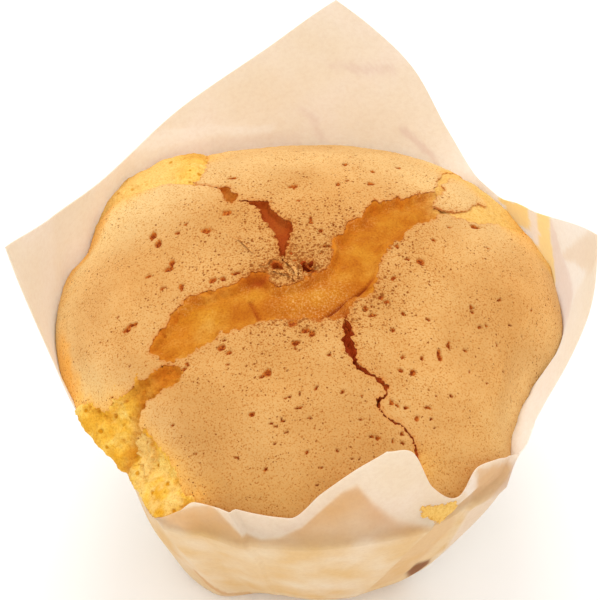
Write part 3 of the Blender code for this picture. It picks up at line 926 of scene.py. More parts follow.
@dataclass(frozen=True)
class CrustFinish:
    """Baked sponge crust: matt golden tan, freckled with burst bubbles, rust-brown inside them, with
    painted light towards its rim and painted shade on its low front.

    Attributes:
        pore_spacing: Millimetres between the fine bubbles.
        grain: Millimetres between the grains of the skin.
        patch: Millimetres between its broad tones.
        warp: Millimetres by which the bubbles are pushed out of round.
    """

    pore_spacing: float = 0.62
    grain: float = 0.3
    patch: float = 9.0
    warp: float = 0.5

    def make(self) -> bpy.types.Material:
        """Build the material."""
        finish = Finish("baked_sponge_crust")
        add, spot = finish.add, finish.spot
        broad = add("TexNoise", {"Vector": spot, "Scale": 1 / (self.patch * MM), "Detail": 3.0})
        fine = add(
            "TexNoise",
            {"Vector": spot, "Scale": 1 / (self.grain * MM), "Detail": 2.0, "Roughness": 0.6},
        )
        crowd = add("Attribute", {}, out="Fac", attribute_name="crowd")
        skin = add("ValToRGB", {"Fac": broad}, ((0.35, "D6A15E"), (0.5, "DDA966"), (0.65, "E3B371")))
        # The fairest tone is painted light towards the rim, the back and the left; the shade tone is
        # partly the deeper-baked middle and partly painted shade on the low front.
        colour = finish.tinted(skin, shade="BE8A4C", fair="FFEAB0", gold="F8BC58")
        lace = add("Math", {0: crowd, 1: -0.05, 2: fine}, operation="MULTIPLY_ADD")
        colour = finish.speckled(
            colour, lace, (0.27, "C89868"), (0.37, "EED8B8"), (0.47, "FFFAF2"), (0.6, "FFFFFF")
        )
        warp = self.warp * MM
        bent = add("TexNoise", {"Vector": spot, "Scale": 1 / warp, "Detail": 1.0}, out="Color")
        bent = add("VectorMath", {0: bent, 1: (0.5, 0.5, 0.5)}, operation="SUBTRACT")
        bent = add("VectorMath", {0: bent, 1: (warp,) * 3, 2: spot}, operation="MULTIPLY_ADD")
        bubbles = add("TexVoronoi", {"Vector": bent, "Scale": 1 / (self.pore_spacing * MM)}).node
        chance = add("SeparateColor", {0: bubbles.outputs["Color"]})
        size = add("Math", {0: chance, 1: 0.44, 2: -0.17}, operation="MULTIPLY_ADD")
        size = add("Math", {0: crowd, 1: 0.18, 2: size}, operation="MULTIPLY_ADD")
        inside = add("Math", {0: size, 1: bubbles.outputs["Distance"]}, operation="SUBTRACT")
        pore = add("MapRange", {"Value": inside, "From Min": 0.0, "From Max": 0.1})
        colour = add("Mix", {0: pore, 6: colour, 7: "94541C"}, out=2, data_type="RGBA")
        pit = add("Attribute", {}, out="Fac", attribute_name="pit")
        torn = add("Math", {0: fine, 1: 0.9, 2: pit}, operation="MULTIPLY_ADD")
        burst = add("MapRange", {"Value": torn, "From Min": 0.86, "From Max": 1.0})
        deep = add("Math", {0: pit, 1: -0.5, 2: fine}, operation="MULTIPLY_ADD")
        well = add("ValToRGB", {"Fac": deep}, ((0.0, "7C3004"), (0.14, "A4480C"), (0.3, "CC7628")))
        colour = add("Mix", {0: burst, 6: colour, 7: well}, out=2, data_type="RGBA")
        colour = finish.tinted(colour, rim="C9742C")
        relief = add("Bump", {"Height": fine, "Strength": 0.55, "Distance": 0.12 * MM})
        for hole, strength, depth in ((pore, 0.4, 0.12), (burst, 0.5, 0.25)):
            inputs = {"Height": hole, "Strength": strength, "Distance": depth * MM, "Normal": relief}
            relief = add("Bump", inputs, invert=True)
        return finish.done(colour, Normal=relief, Roughness=0.82, Specular_IOR_Level=0.12)


@dataclass(frozen=True)
class TornCrustFinish:
    """Broken edge of the crust: rust-brown crumb, open and dull.

    Attributes:
        grain: Millimetres between the grains of the crumb.
    """

    grain: float = 0.5

    def make(self) -> bpy.types.Material:
        """Build the material."""
        finish = Finish("torn_crust_edge")
        add, scale = finish.add, 1 / (self.grain * MM)
        fine = add("TexNoise", {"Vector": finish.spot, "Scale": scale, "Detail": 3.0})
        crumb = add("ValToRGB", {"Fac": fine}, ((0.3, "C8701E"), (0.5, "DC9238"), (0.7, "ECB05C")))
        relief = add("Bump", {"Height": fine, "Strength": 0.7, "Distance": 0.2 * MM})
        return finish.done(crumb, Normal=relief, Roughness=0.9)


@dataclass(frozen=True)
class CrumbFinish:
    """Open sponge crumb: velvety amber where it baked, raw egg yellow where it is torn, with painted
    highlights on its grain and painted shade in part of its rust and dark tones.

    Attributes:
        grain: Millimetres between the grains of the crumb.
        cell: Millimetres between its open cells.
        patch: Millimetres between its broad tones.
    """

    grain: float = 0.34
    cell: float = 1.3
    patch: float = 4.0

    def make(self) -> bpy.types.Material:
        """Build the material."""
        finish = Finish("open_sponge_crumb")
        add, spot = finish.add, finish.spot
        broad = add("TexNoise", {"Vector": spot, "Scale": 1 / (self.patch * MM), "Detail": 3.0})
        fine = add(
            "TexNoise",
            {"Vector": spot, "Scale": 1 / (self.grain * MM), "Detail": 3.0, "Roughness": 0.65},
        )
        amber, raw = (
            add("ValToRGB", {"Fac": broad}, tuple(zip((0.35, 0.5, 0.65), codes)))
            for codes in (("BA6A0C", "C47714", "CF8A24"), ("E9AC2C", "F8C650", "FFDE82"))
        )
        # The rust and dark tones are partly the crumb's own colour and partly painted shade.
        colour = finish.tinted(amber, yellow=raw, rust="D47C18", dark="A43A04", pale="F7D080")
        # Painted highlight: light flecks on the crumb's grain, as strong as the mark.
        frost = add("Attribute", {}, out="Fac", attribute_name="frost")
        sugar = add("MapRange", {"Value": fine, "From Min": 0.5, "From Max": 0.85})
        frosted = add("Math", {0: sugar, 1: frost}, operation="MULTIPLY")
        colour = add("Mix", {0: frosted, 6: colour, 7: "F0C490"}, out=2, data_type="RGBA")
        cells = add("TexVoronoi", {"Vector": spot, "Scale": 1 / (self.cell * MM)}).node
        chance = add("SeparateColor", {0: cells.outputs["Color"]})
        size = add("Math", {0: chance, 1: 0.55, 2: -0.14}, operation="MULTIPLY_ADD")
        inside = add("Math", {0: size, 1: cells.outputs["Distance"]}, operation="SUBTRACT")
        torn = add("Math", {0: fine, 1: 0.5, 2: inside}, operation="MULTIPLY_ADD")
        hole = add("MapRange", {"Value": torn, "From Min": 0.24, "From Max": 0.4})
        yellow = add("Attribute", {}, out="Fac", attribute_name="yellow")
        spongy = add("Math", {0: hole, 1: yellow}, operation="MULTIPLY")
        colour = add("Mix", {0: spongy, 6: colour, 7: "D8920A"}, out=2, data_type="RGBA")
        colour = finish.speckled(colour, fine, (0.3, "E0CCA0"), (0.5, "F8F0DC"), (0.7, "FFFFFF"))
        relief = add("Bump", {"Height": fine, "Strength": 0.6, "Distance": 0.15 * MM})
        inputs = {"Height": spongy, "Strength": 0.6, "Distance": 0.4 * MM, "Normal": relief}
        relief = add("Bump", inputs, invert=True)
        return finish.done(colour, Normal=relief, Roughness=0.8, Specular_IOR_Level=0.15)


@dataclass(frozen=True)
class ParchmentFinish:
    """Cream baking parchment: smooth and faintly waxy, tanned where oil soaked in, with painted shade
    in its creases and hollows and painted light where it stands by the cake.

    Attributes:
        cloud: Millimetres between its cloudy tones.
        fibre: Millimetres between its fibres, drawn coarse enough to show.
    """

    cloud: float = 14.0
    fibre: float = 0.8

    def make(self) -> bpy.types.Material:
        """Build the material."""
        finish = Finish("baking_parchment")
        add, spot = finish.add, finish.spot
        cloud = add("TexNoise", {"Vector": spot, "Scale": 1 / (self.cloud * MM), "Detail": 4.0})
        fibre = add(
            "TexNoise",
            {"Vector": spot, "Scale": 1 / (self.fibre * MM), "Detail": 3.0, "Roughness": 0.7},
        )
        sheet = add("ValToRGB", {"Fac": cloud}, ((0.35, "F5E5CA"), (0.5, "F7E9D2"), (0.65, "F9ECDA")))
        # The stain and residue tones are the sheet's own; the crease, blush and hollow tones are
        # painted shade, and the clean tone is painted light.
        colour = finish.tinted(
            sheet, clean="FFFAF2", stain="E8BF80", crease="DDA868", blush="E8CDBC",
            residue="FFE268", hollow="86481C",
        )
        colour = finish.speckled(colour, fibre, (0.3, "F8F4F0"), (0.6, "FFFFFF"))
        relief = add("Bump", {"Height": fibre, "Strength": 0.15, "Distance": 0.1 * MM})
        # Painted shadow in the hollow under a flap at the foot of the front; there the sheet also
        # loses its gloss.
        hollow = add("Attribute", {}, out="Fac", attribute_name="hollow")
        gloss = add("Math", {0: hollow, 1: -0.3, 2: 0.3}, operation="MULTIPLY_ADD")
        glow = add("Mix", {0: 0.6, 6: colour, 7: "FFFFFF"}, out=2, data_type="RGBA")
        through = add("BsdfTranslucent", {"Color": glow, "Normal": relief})
        loose = add("Attribute", {}, out="Fac", attribute_name="loose")
        sheen = finish.nodes["Principled BSDF"].outputs[0]
        both = add("MixShader", {0: loose, 1: sheen, 2: through})
        feed(finish.nodes["Material Output"], {"Surface": both})
        return finish.done(colour, Normal=relief, Roughness=0.6, Specular_IOR_Level=gloss)


@dataclass(frozen=True)
class FloorFinish:
    """Matt white table top."""

    def make(self) -> bpy.types.Material:
        """Build the material."""
        finish = Finish("matt_white_table")
        fine = finish.add("TexNoise", {"Vector": finish.spot, "Scale": 4.0})
        white = finish.add("ValToRGB", {"Fac": fine}, ((0.4, "FDFDFE"), (0.6, "FFFFFF")))
        return finish.done(white, Roughness=0.9, Specular_IOR_Level=0.1)


PITS: tuple[tuple[float, float, float, float, float], ...] = (
    (-27.2, 12.8, 0.57, 0.89, 1), (-26.1, 10.5, 0.55, 0.91, 0.9), (-17.8, 11.3, 0.95, 0.55, 0.7),
    (-22.8, 12, 0.37, 0.36, 0.6), (-21.4, 13.6, 0.33, 0.4, 0.7), (-23.6, 4.8, 0.36, 1, 0.9),
    (-24.1, 3.8, 0.81, 0.45, 0.9), (-27.6, 3.2, 0.46, 0.45, 0.7), (-21.8, -0.8, 0.4, 0.75, 0.8),
    (-25, -0.1, 0.59, 0.28, 0.7), (-30, -6.4, 0.94, 0.4, 0.9), (-31, -7, 0.74, 0.38, 0.9),
    (-32.5, -3.9, 0.22, 0.2, 0.8), (-16.5, 0.1, 0.68, 0.49, 0.5), (-12.8, 1.1, 0.84, 0.33, 0.8),
    (-14.9, 0.1, 0.45, 0.36, 0.7), (-5.8, 2.6, 0.9, 0.8, 0.6), (-1.4, 2.9, 0.48, 0.44, 1),
    (-0.4, 2, 0.6, 0.6, 0.9), (0.4, 1.1, 0.6, 0.4, 0.8), (-8.1, 0, 1.3, 0.9, 0.5),
    (-14.5, 15.5, 0.82, 0.73, 0.55), (-0.2, 13.4, 0.35, 0.41, 0.8), (0, 12.4, 0.33, 0.38, 0.8),
    (-3.1, 22.2, 0.8, 0.46, 0.8), (1.7, 10.4, 0.33, 0.41, 0.8), (-2.2, 18.1, 0.24, 0.36, 0.7),
    (-13.7, 25.1, 1, 0.37, 0.7), (-3.1, -10, 0.87, 0.68, 0.5), (-1.1, -11.6, 0.6, 0.48, 1),
    (0, -12.4, 0.48, 0.54, 1), (-2.6, -14, 0.56, 0.4, 0.8), (-2.6, -15.1, 0.3, 0.27, 0.5),
    (-14.9, -13.8, 0.72, 0.49, 0.8), (-13.6, -15, 0.6, 0.4, 0.6), (-14.6, -12.3, 0.33, 0.2, 0.9),
    (-7.3, -19.4, 0.54, 0.45, 0.8), (-8.1, -19.9, 0.47, 0.29, 0.7),
    (-20.5, -15.9, 0.33, 0.37, 0.9), (-21, -16.8, 0.56, 0.24, 0.9),
    (3, -16.7, 0.24, 0.28, 0.7), (18.5, 4.4, 0.63, 0.56, 1), (16.2, 4.7, 0.42, 0.34, 1),
    (13.7, 0, 0.41, 0.37, 0.9), (13, 7.1, 0.47, 0.4, 0.9), (14.5, 7.6, 0.3, 0.35, 0.8),
    (11.6, -4.3, 0.45, 0.51, 0.9), (12.5, -5, 0.62, 0.28, 0.9), (10.2, -8, 0.6, 0.32, 0.8),
    (9, -6.5, 0.4, 0.45, 0.8), (9.9, -6.4, 0.25, 0.28, 0.7), (21, -13.5, 0.33, 0.61, 1),
    (21.3, -14.3, 0.34, 0.49, 0.9), (22.8, -11.4, 0.33, 0.62, 0.9), (16.6, -18.1, 0.36, 0.41, 0.9),
    (14.6, -18.1, 0.44, 0.29, 0.8), (18.2, -15.1, 0.42, 0.31, 0.8), (15, -15.5, 0.35, 0.33, 0.7),
    (13.4, -10.6, 0.32, 0.4, 0.8), (15.2, -6.9, 0.33, 0.32, 0.7), (28.2, -6.2, 0.37, 0.31, 0.8),
    (29.3, -5.7, 0.27, 0.25, 0.7), (26.9, -3.1, 0.38, 0.2, 0.8), (26.9, -4.1, 0.34, 0.25, 0.7),
    (20.9, 9.7, 0.36, 0.28, 0.8), (23.8, 13.9, 0.47, 0.25, 0.8), (28.3, 15.4, 0.82, 0.4, 0.8),
    (-2.9, 22.2, 0.51, 0.55, 0.6), (10.4, 23.5, 0.59, 0.51, 0.8), (10.9, 27.5, 0.41, 0.46, 0.6),
    (6, 29.6, 0.52, 0.5, 0.8), (15.3, 29.7, 0.54, 0.38, 0.7), (4.7, 23.1, 0.39, 0.51, 0.7),
    (2.8, -16.8, 0.36, 0.32, 0.7), (5, -24, 0.33, 0.32, 0.9), (0.7, -22.9, 0.33, 0.3, 0.8),
    (-9.7, -26.3, 0.45, 0.27, 1), (-6.6, -28.2, 0.38, 0.27, 0.9), (-5.9, -28.6, 0.32, 0.17, 0.8),
    (-18.9, -31, 0.23, 0.2, 0.7), (-12.1, -32.8, 0.22, 0.22, 0.8),
    (-7.4, -35.1, 0.33, 0.22, 0.7), (-22.6, -26, 0.28, 0.22, 0.5),
    (-7.1, -19.4, 0.41, 0.62, 0.7), (-3.6, -23.9, 0.22, 0.24, 1), (-4.2, -29.8, 0.25, 0.22, 0.7),
    (-2.1, -26, 0.54, 0.2, 0.9), (7.8, -28.6, 0.41, 0.21, 0.9), (13, -24.1, 0.43, 0.44, 0.8),
    (14, -24.4, 0.33, 0.27, 0.7), (15.4, -24.3, 0.43, 0.32, 0.8), (18.9, -23.6, 0.68, 0.24, 0.8),
    (17.1, -25.8, 0.43, 0.37, 0.7), (19.5, -25.3, 0.23, 0.22, 0.8), (10.6, -31.1, 0.4, 0.33, 0.8),
    (9.6, -31.1, 0.4, 0.2, 0.8), (13, -30.9, 0.17, 0.41, 0.8), (14.6, -30.6, 0.46, 0.24, 0.7),
    (4.1, -33.8, 0.27, 0.22, 0.8), (-0.8, -33.4, 0.32, 0.24, 0.7), (23, -20.5, 0.24, 0.2, 0.8),
    (20.5, -21.2, 0.23, 0.23, 0.7), (0.6, -38.2, 0.21, 0.17, 0.7), (20, -26.6, 0.4, 0.22, 0.7),
    (-4.2, -24, 0.24, 0.2, 0.9), (-17.4, 10, 0.33, 0.2, 0.8), (-7, 14.5, 0.19, 0.31, 0.6),
    (8.1, -24.1, 0.27, 0.25, 0.6), (31.9, -0.1, 0.23, 0.25, 0.7), (33.5, -3.8, 0.27, 0.17, 0.7),
    (31.1, -8.1, 0.32, 0.22, 0.7), (25.6, -11.5, 0.32, 0.23, 0.7), (37.6, 0.9, 0.27, 0.21, 0.6),
    (32.4, -12.1, 0.35, 0.23, 0.6), (29.1, -15.9, 0.25, 0.17, 0.6), (26.2, -15.2, 0.28, 0.25, 0.6),
)


@dataclass
class SpongeCrust:
    """The crust: four plates and a loose flake, parted along the cracks.

    Attributes:
        skin: The cake's flat layout.
        crust: The openings.
        held: Keeps points inside the paper.
        step: Lattice cell.
        thickness: Of the crust.
        beyond_rim: How far the plates run down the side, behind the paper.
        rust: How rusty their torn edges are.
        golden_edge: How far their edges turn golden near the rim.
        dull: How far they darken towards the middle, where they baked deeper, and towards the low
            front, which is painted shade.
    """

    skin: FlatSkin
    crust: Crust
    held: Callable[[np.ndarray], np.ndarray]
    step: float = 0.25
    thickness: float = 0.5
    beyond_rim: float = 4.0
    rust: float = 0.75
    golden_edge: float = 1.0
    dull: float = 1.0
    GOLD = ((146, 26, -8.0, 0.8), (-168, 14, -8.0, 0.85), (46, 12, -4.0, 0.5), (60, 10, -3.0, 0.3))
    SMALL_PITS = 150
    CENTRE = (0.0, 2.0)
    LEFT_TO_BACK: Line = (
        (0.5, -3.5), (-5, -4.5), (-5, 3.5), (-5.5, 9), (-7.5, 14), (-12, 18.8),
        (-14, 20), (-16, 22.4), (-17.2, 23.1), (-19.3, 24.5), (-22, 25.7),
    )
    LOW_VALLEY: Line = ((-35, -20), (-30, -18.6), (-25.3, -15.1), (-24.5, -12), (-15, -6.5),
                        (-5, -4.5))
    RIGHT_TO_BACK: Line = ((7.5, -2.5), (8, 5), (10.5, 11), (15.5, 15.5), (21.8, 20.5))

    def regions(self, points: np.ndarray) -> np.ndarray:
        """Number of the plate that each flat point belongs to: left, back, right, front."""
        flat = self.skin.flat
        left_back, right_back = flat(self.LEFT_TO_BACK), flat(self.RIGHT_TO_BACK)
        right_front = flat(((7.5, -2.5), (5.9, -8.5)) + tuple(p[:2] for p in FRONT_CRACK[1:]))

        def rim(*azimuths: float, past: float = 14.0) -> list[np.ndarray]:
            return [self.skin.spot(azimuth, past) for azimuth in azimuths]

        back_left, back_right, front_right, front_left = (
            rim(azimuth, past=12.0) for azimuth in (123, 42, -60, -148)
        )
        left = (left_back[1:], back_left, rim(140, 160, 180, -165), front_left, flat(self.LOW_VALLEY))
        back = (left_back, back_left, rim(100, 80, 60), back_right, right_back[::-1])
        right = (right_back, back_right, rim(20, 0, -20, -40), front_right, right_front[::-1])
        number = np.full(len(points), 3)
        for index, outline in ((2, right), (1, back), (0, left)):
            number[signed_distance(points, np.vstack(outline)) < 0] = index
        return number

    def relief(self, points: np.ndarray) -> np.ndarray:
        """Height of the crust's unevenness over the true form."""
        seen = self.skin.surface(points)[:, :2]
        skin = 0.07 * Grain(22).at(points, 1.5, 2) + 0.03 * Grain(23).at(points, 0.55)
        crumple = 0.22 * np.abs(Grain(24).at(points, 3.2, 2)) * hump(seen, self.CENTRE, (16, 16))
        curl = hump(seen, (-1.5, 1), (3.6, 2.6))
        crumple += 0.5 * (np.abs(Grain(25).at(points, 1.3, 2)) - 0.3) * curl
        return self.crust.swell(points) + skin - crumple

    def pits(self, points: np.ndarray) -> np.ndarray:
        """How far inside a burst bubble each flat point is, from 0 to 1."""
        inside = np.zeros(len(points))
        bend = 0.3 * Grain(31).push(points, 0.8)
        random = np.random.default_rng(33)
        flat = self.skin.flat(tuple(pit[:2] for pit in PITS))
        marks = [(*place, *pit[2:]) for place, pit in zip(flat, PITS)]
        for _ in range(self.SMALL_PITS):
            turn = random.uniform(0, 2 * math.pi)
            run = 50 * math.sqrt(random.random())
            if random.random() > 0.25 + 0.75 * bell(run, 26.0):
                continue
            size = random.uniform(0.14, 0.24) * (1 + 0.5 * random.random() ** 3)
            long = size * random.uniform(0.8, 1.7)
            depth = random.uniform(0.5, 0.95)
            marks.append((run * math.cos(turn), run * math.sin(turn), long, size, depth))
        for u, v, half_u, half_v, depth in marks:
            off = points - (u, v)
            close = np.flatnonzero((np.abs(off) < 2.2).all(1))
            off = (off[close] + bend[close]) / (half_u, half_v * 1.1)
            share = (0.55 + 0.45 * depth) * smooth(1 - np.hypot(*off.T) / 2.2)
            inside[close] = np.maximum(inside[close], share)
        return inside

    def connected(self, mask: np.ndarray) -> np.ndarray:
        """Largest joined area of a cell mask, by growing from its middle."""
        rest, best = mask.copy(), np.zeros_like(mask)
        while rest.sum() > best.sum():
            grown = np.zeros_like(mask)
            grown.flat[np.argmax(rest)] = True
            size = 0
            while grown.sum() != size:
                size = grown.sum()
                for _ in range(12):
                    wide = grown.copy()
                    wide[1:] |= grown[:-1]
                    wide[:-1] |= grown[1:]
                    wide[:, 1:] |= grown[:, :-1]
                    wide[:, :-1] |= grown[:, 1:]
                    grown = wide & mask
            rest &= ~grown
            if grown.sum() > best.sum():
                best = grown
        return best

    def build_plate(
        self,
        name: str,
        low: Pair,
        high: Pair,
        torn_at: Callable,
        belongs: Callable = lambda points: True,
        lift: Callable = lambda points: 0.0,
    ) -> bpy.types.Object:
        """Build one plate of crust.

        Args:
            name: The piece's name.
            low: Lowest (u, v) of its area, on the lattice.
            high: Highest (u, v).
            torn_at: Distance of flat points inside the torn edge.
            belongs: Tells for flat points whether the plate reaches there.
            lift: How far flat points have risen off the dome.

        Returns:
            The plate, with its thickness.
        """

        def stays(centres: np.ndarray, count: tuple[int, int]) -> np.ndarray:
            on_dome = self.crust.past_rim(centres) < self.beyond_rim
            cell = tuple(np.round((centres - low) / self.step - 0.5).astype(int).T)
            mask = np.zeros(count, bool)
            mask[cell] = belongs(centres) & (torn_at(centres) > 0) & on_dome
            for _ in range(2):
                sides = np.pad(mask, 1).astype(int)
                mask &= sides[:-2, 1:-1] + sides[2:, 1:-1] + sides[1:-1, :-2] + sides[1:-1, 2:] >= 2
            return self.connected(mask)[cell]

        piece, places = lattice(name, low, high, self.step, stays)
        self.shape(piece, places, torn_at, lift(places))
        thicken(piece, self.thickness, rim_slot=1)
        shade(piece, sharp_from=50)
        return piece

    def shape(
        self, piece: bpy.types.Object, places: np.ndarray, torn_at: Callable, lift: float
    ) -> None:
        """Snap a plate's torn edge to its outline, raise it onto the dome and note its marks.

        Args:
            piece: The plate, still flat.
            places: Flat places of its vertices.
            torn_at: Distance of flat points inside the torn edge.
            lift: How far the plate has risen off the dome.
        """
        away = torn_at(places)
        reach = 0.1
        steps = ((reach, 0), (0, reach))
        slope = np.stack([(torn_at(places + step) - away) / reach for step in steps], 1)
        steep = np.maximum(slope[:, 0] ** 2 + slope[:, 1] ** 2, 0.25)
        torn = border(piece) & (np.abs(away) < 1.3 * self.step)
        moved = places.copy()
        moved[torn] -= (away[:, None] * slope / steep[:, None])[torn]
        pit = self.pits(moved)
        edge = fading(away, 0.28)
        edge[torn] = 1.0
        lip = 0.1 * Grain(41).at(moved, 2.2, 2) * fading(away, 1.5)
        ragged = self.crust.ragged(moved)
        hair = np.min([distance_to(ragged, line) for line in self.crust.hair], axis=0)
        split = bell(hair, 0.28)
        sunk = 0.45 * smooth((pit - 0.3) / 0.4) + 0.12 * edge + 0.5 * split
        rise = self.relief(moved) - sunk + lip + lift
        set_points(piece, self.held(self.skin.raised(moved, rise)))
        store(piece, pit=pit, **self.tones(moved, away, edge, split))

    def tones(
        self, points: np.ndarray, away: np.ndarray, edge: np.ndarray, split: np.ndarray
    ) -> dict[str, np.ndarray]:
        """Rusty, golden and dull shares of the crust, its painted light, and how its pores crowd.

        Args:
            points: Flat (u, v) points.
            away: Distances inside the torn edge.
            edge: How near the torn edge they are, from 0 to 1.
            split: How near a hair crack, from 0 to 1.

        Returns:
            One value a point for each mark.
        """
        seen = self.skin.surface(points)[:, :2]
        x, y = seen.T
        turn, past = polar(points)[0], self.crust.past_rim(points)
        blot = 1.5 * Grain(45).at(points, 3.0, 2)
        outer = smooth((past + 15) / 6) * self.golden_edge
        gold = 0.85 * outer * fading(away, 2.2)
        for middle, width, inner, strength in self.GOLD:
            across = smooth(1.4 - np.abs(wrapped(turn - middle)) / width)
            gold = np.maximum(gold, strength * across * smooth((past + blot - inner) / 4))
        crowd = hump(seen, self.CENTRE, (20, 20))
        rusty = self.rust * edge * (0.6 + 0.4 * Grain(42).at(points, 1.1)) * (1 - 0.7 * outer)
        dull = 0.25 + 0.2 * Grain(44).at(points, 12.0, 2) + 0.3 * crowd
        # Painted shade: darker towards the low front, where less light falls.
        dull += 0.35 * smooth((-14 - y) / 22) * smooth((24 - x) / 12)
        # Painted light: fairer near the rim, towards the back and towards the left, standing in for
        # the light that falls there.
        fair = 0.42 * smooth((past + 13) / 13) * (1 - 0.9 * smooth((-12 - y) / 22))
        fair += 0.3 * smooth((y - 2) / 20) * smooth((past + 30) / 14)
        fair += 0.28 * smooth((-14 - x) / 18) * smooth((past + 20) / 14)
        crowd = crowd * (1.3 + 1.5 * fading(away, 1.6)) + 0.5 * Grain(43).at(points, 6.0, 2)
        return {
            "rim": np.maximum(rusty, 0.9 * split),
            "gold": gold,
            "crowd": crowd,
            "shade": self.dull * np.clip(dull, 0, 0.85),
            "fair": fair,
        }

    def build(self, skin_finish: bpy.types.Material, torn_finish: bpy.types.Material) -> None:
        """Build and dress every plate."""
        areas = (
            ("crust_left", (-53, -28), (0, 44)),
            ("crust_back", (-34, -6), (42, 54)),
            ("crust_right", (4, -48), (54, 40)),
            ("crust_front", (-46, -54), (34, -4)),
        )
        plates = [
            self.build_plate(
                name,
                low,
                high,
                self.crust.opening,
                lambda points, number=number: self.regions(self.crust.ragged(points)) == number,
            )
            for number, (name, low, high) in enumerate(areas)
        ]
        flake = self.build_plate(
            "crust_flake",
            (18, 14),
            (42, 42),
            lambda points: -signed_distance(self.crust.ragged(points), self.crust.flake),
            lift=lambda points: 0.05 + 0.35 * smooth((32 - polar(points)[1]) / 5),
        )
        for plate in (*plates, flake):
            dress(plate, "sponge_cake", "sponge", skin_finish, torn_finish)

    def build_shreds(self, finish: bpy.types.Material) -> None:
        """Build the thin shreds of crust that curl up where the splits meet."""
        for number, route in enumerate(SHREDS, 1):
            outline = self.skin.flat(ribbon(route))
            shred = self.build_plate(
                f"crust_shred_{number}",
                outline.min(0) - 0.5,
                outline.max(0) + 0.5,
                lambda points, outline=outline: -signed_distance(points, outline),
                lift=lambda points: 0.5 + 0.5 * Grain(26).at(points, 1.2),
            )
            dress(shred, "sponge_cake", "sponge", finish, finish)


@dataclass
class CrumbBed:
    """Flat points of the crumb, and where they lie among the openings.

    Attributes:
        crust: The openings.
        points: Flat (u, v) points.
    """

    crust: Crust
    points: np.ndarray

    def __post_init__(self) -> None:
        """Measure the points against each opening, crease and lump."""
        crust, points = self.crust, self.points
        ragged = crust.ragged(points)
        away = crust.distances(ragged)
        self.nearest = np.min(list(away.values()), axis=0)
        weights = {part: fading(off, crust.BLEND) for part, off in away.items()}
        total = np.maximum(sum(weights.values()), 1e-9)
        self.share = {part: weight / total for part, weight in weights.items()}
        self.valley, self.left = self.share[Part.VALLEY], self.share[Part.LOWER_VALLEY]
        self.strip = self.share[Part.PEELED_BACK_LEFT]
        self.peel = self.share[Part.PEELED_BACK_RIGHT]
        self.to_back, self.to_front = distance_to(points, crust.back), distance_to(points, crust.front)
        self.seen = crust.skin.surface(points)[:, :2]
        self.turn, self.past = polar(points)[0], crust.past_rim(points)
        self.rolls, self.tucks = [], []
        for crease, strength in zip(crust.creases, (0.9, 0.5)):
            off, along = beside(points, crease)
            fade = strength * smooth((1 - along) / 0.12 + 0.2) * smooth(along / 0.1 + 0.2)
            # Each crease sinks in a groove that is drawn dark as painted shade, with a roll on one
            # side whose rust is partly painted shade.
            self.tucks.append(fade * bell(off, 0.42))
            self.rolls.append(fade * fading(off, 1.7) * smooth(off / 0.2 + 1))
        frayed = 0.8 * Grain(57).at(points, 0.8, 2)
        self.lump = smooth((frayed - signed_distance(ragged, crust.lump)) / 0.7 + 0.4)
        self.gully = bell(distance_to(points, crust.gully), 1.5) * (1 - self.lump)

    def blended(self, name: str) -> np.ndarray:
        """One value of the openings, blended between them."""
        return sum(self.share[part] * getattr(part.value, name) for part in Part)


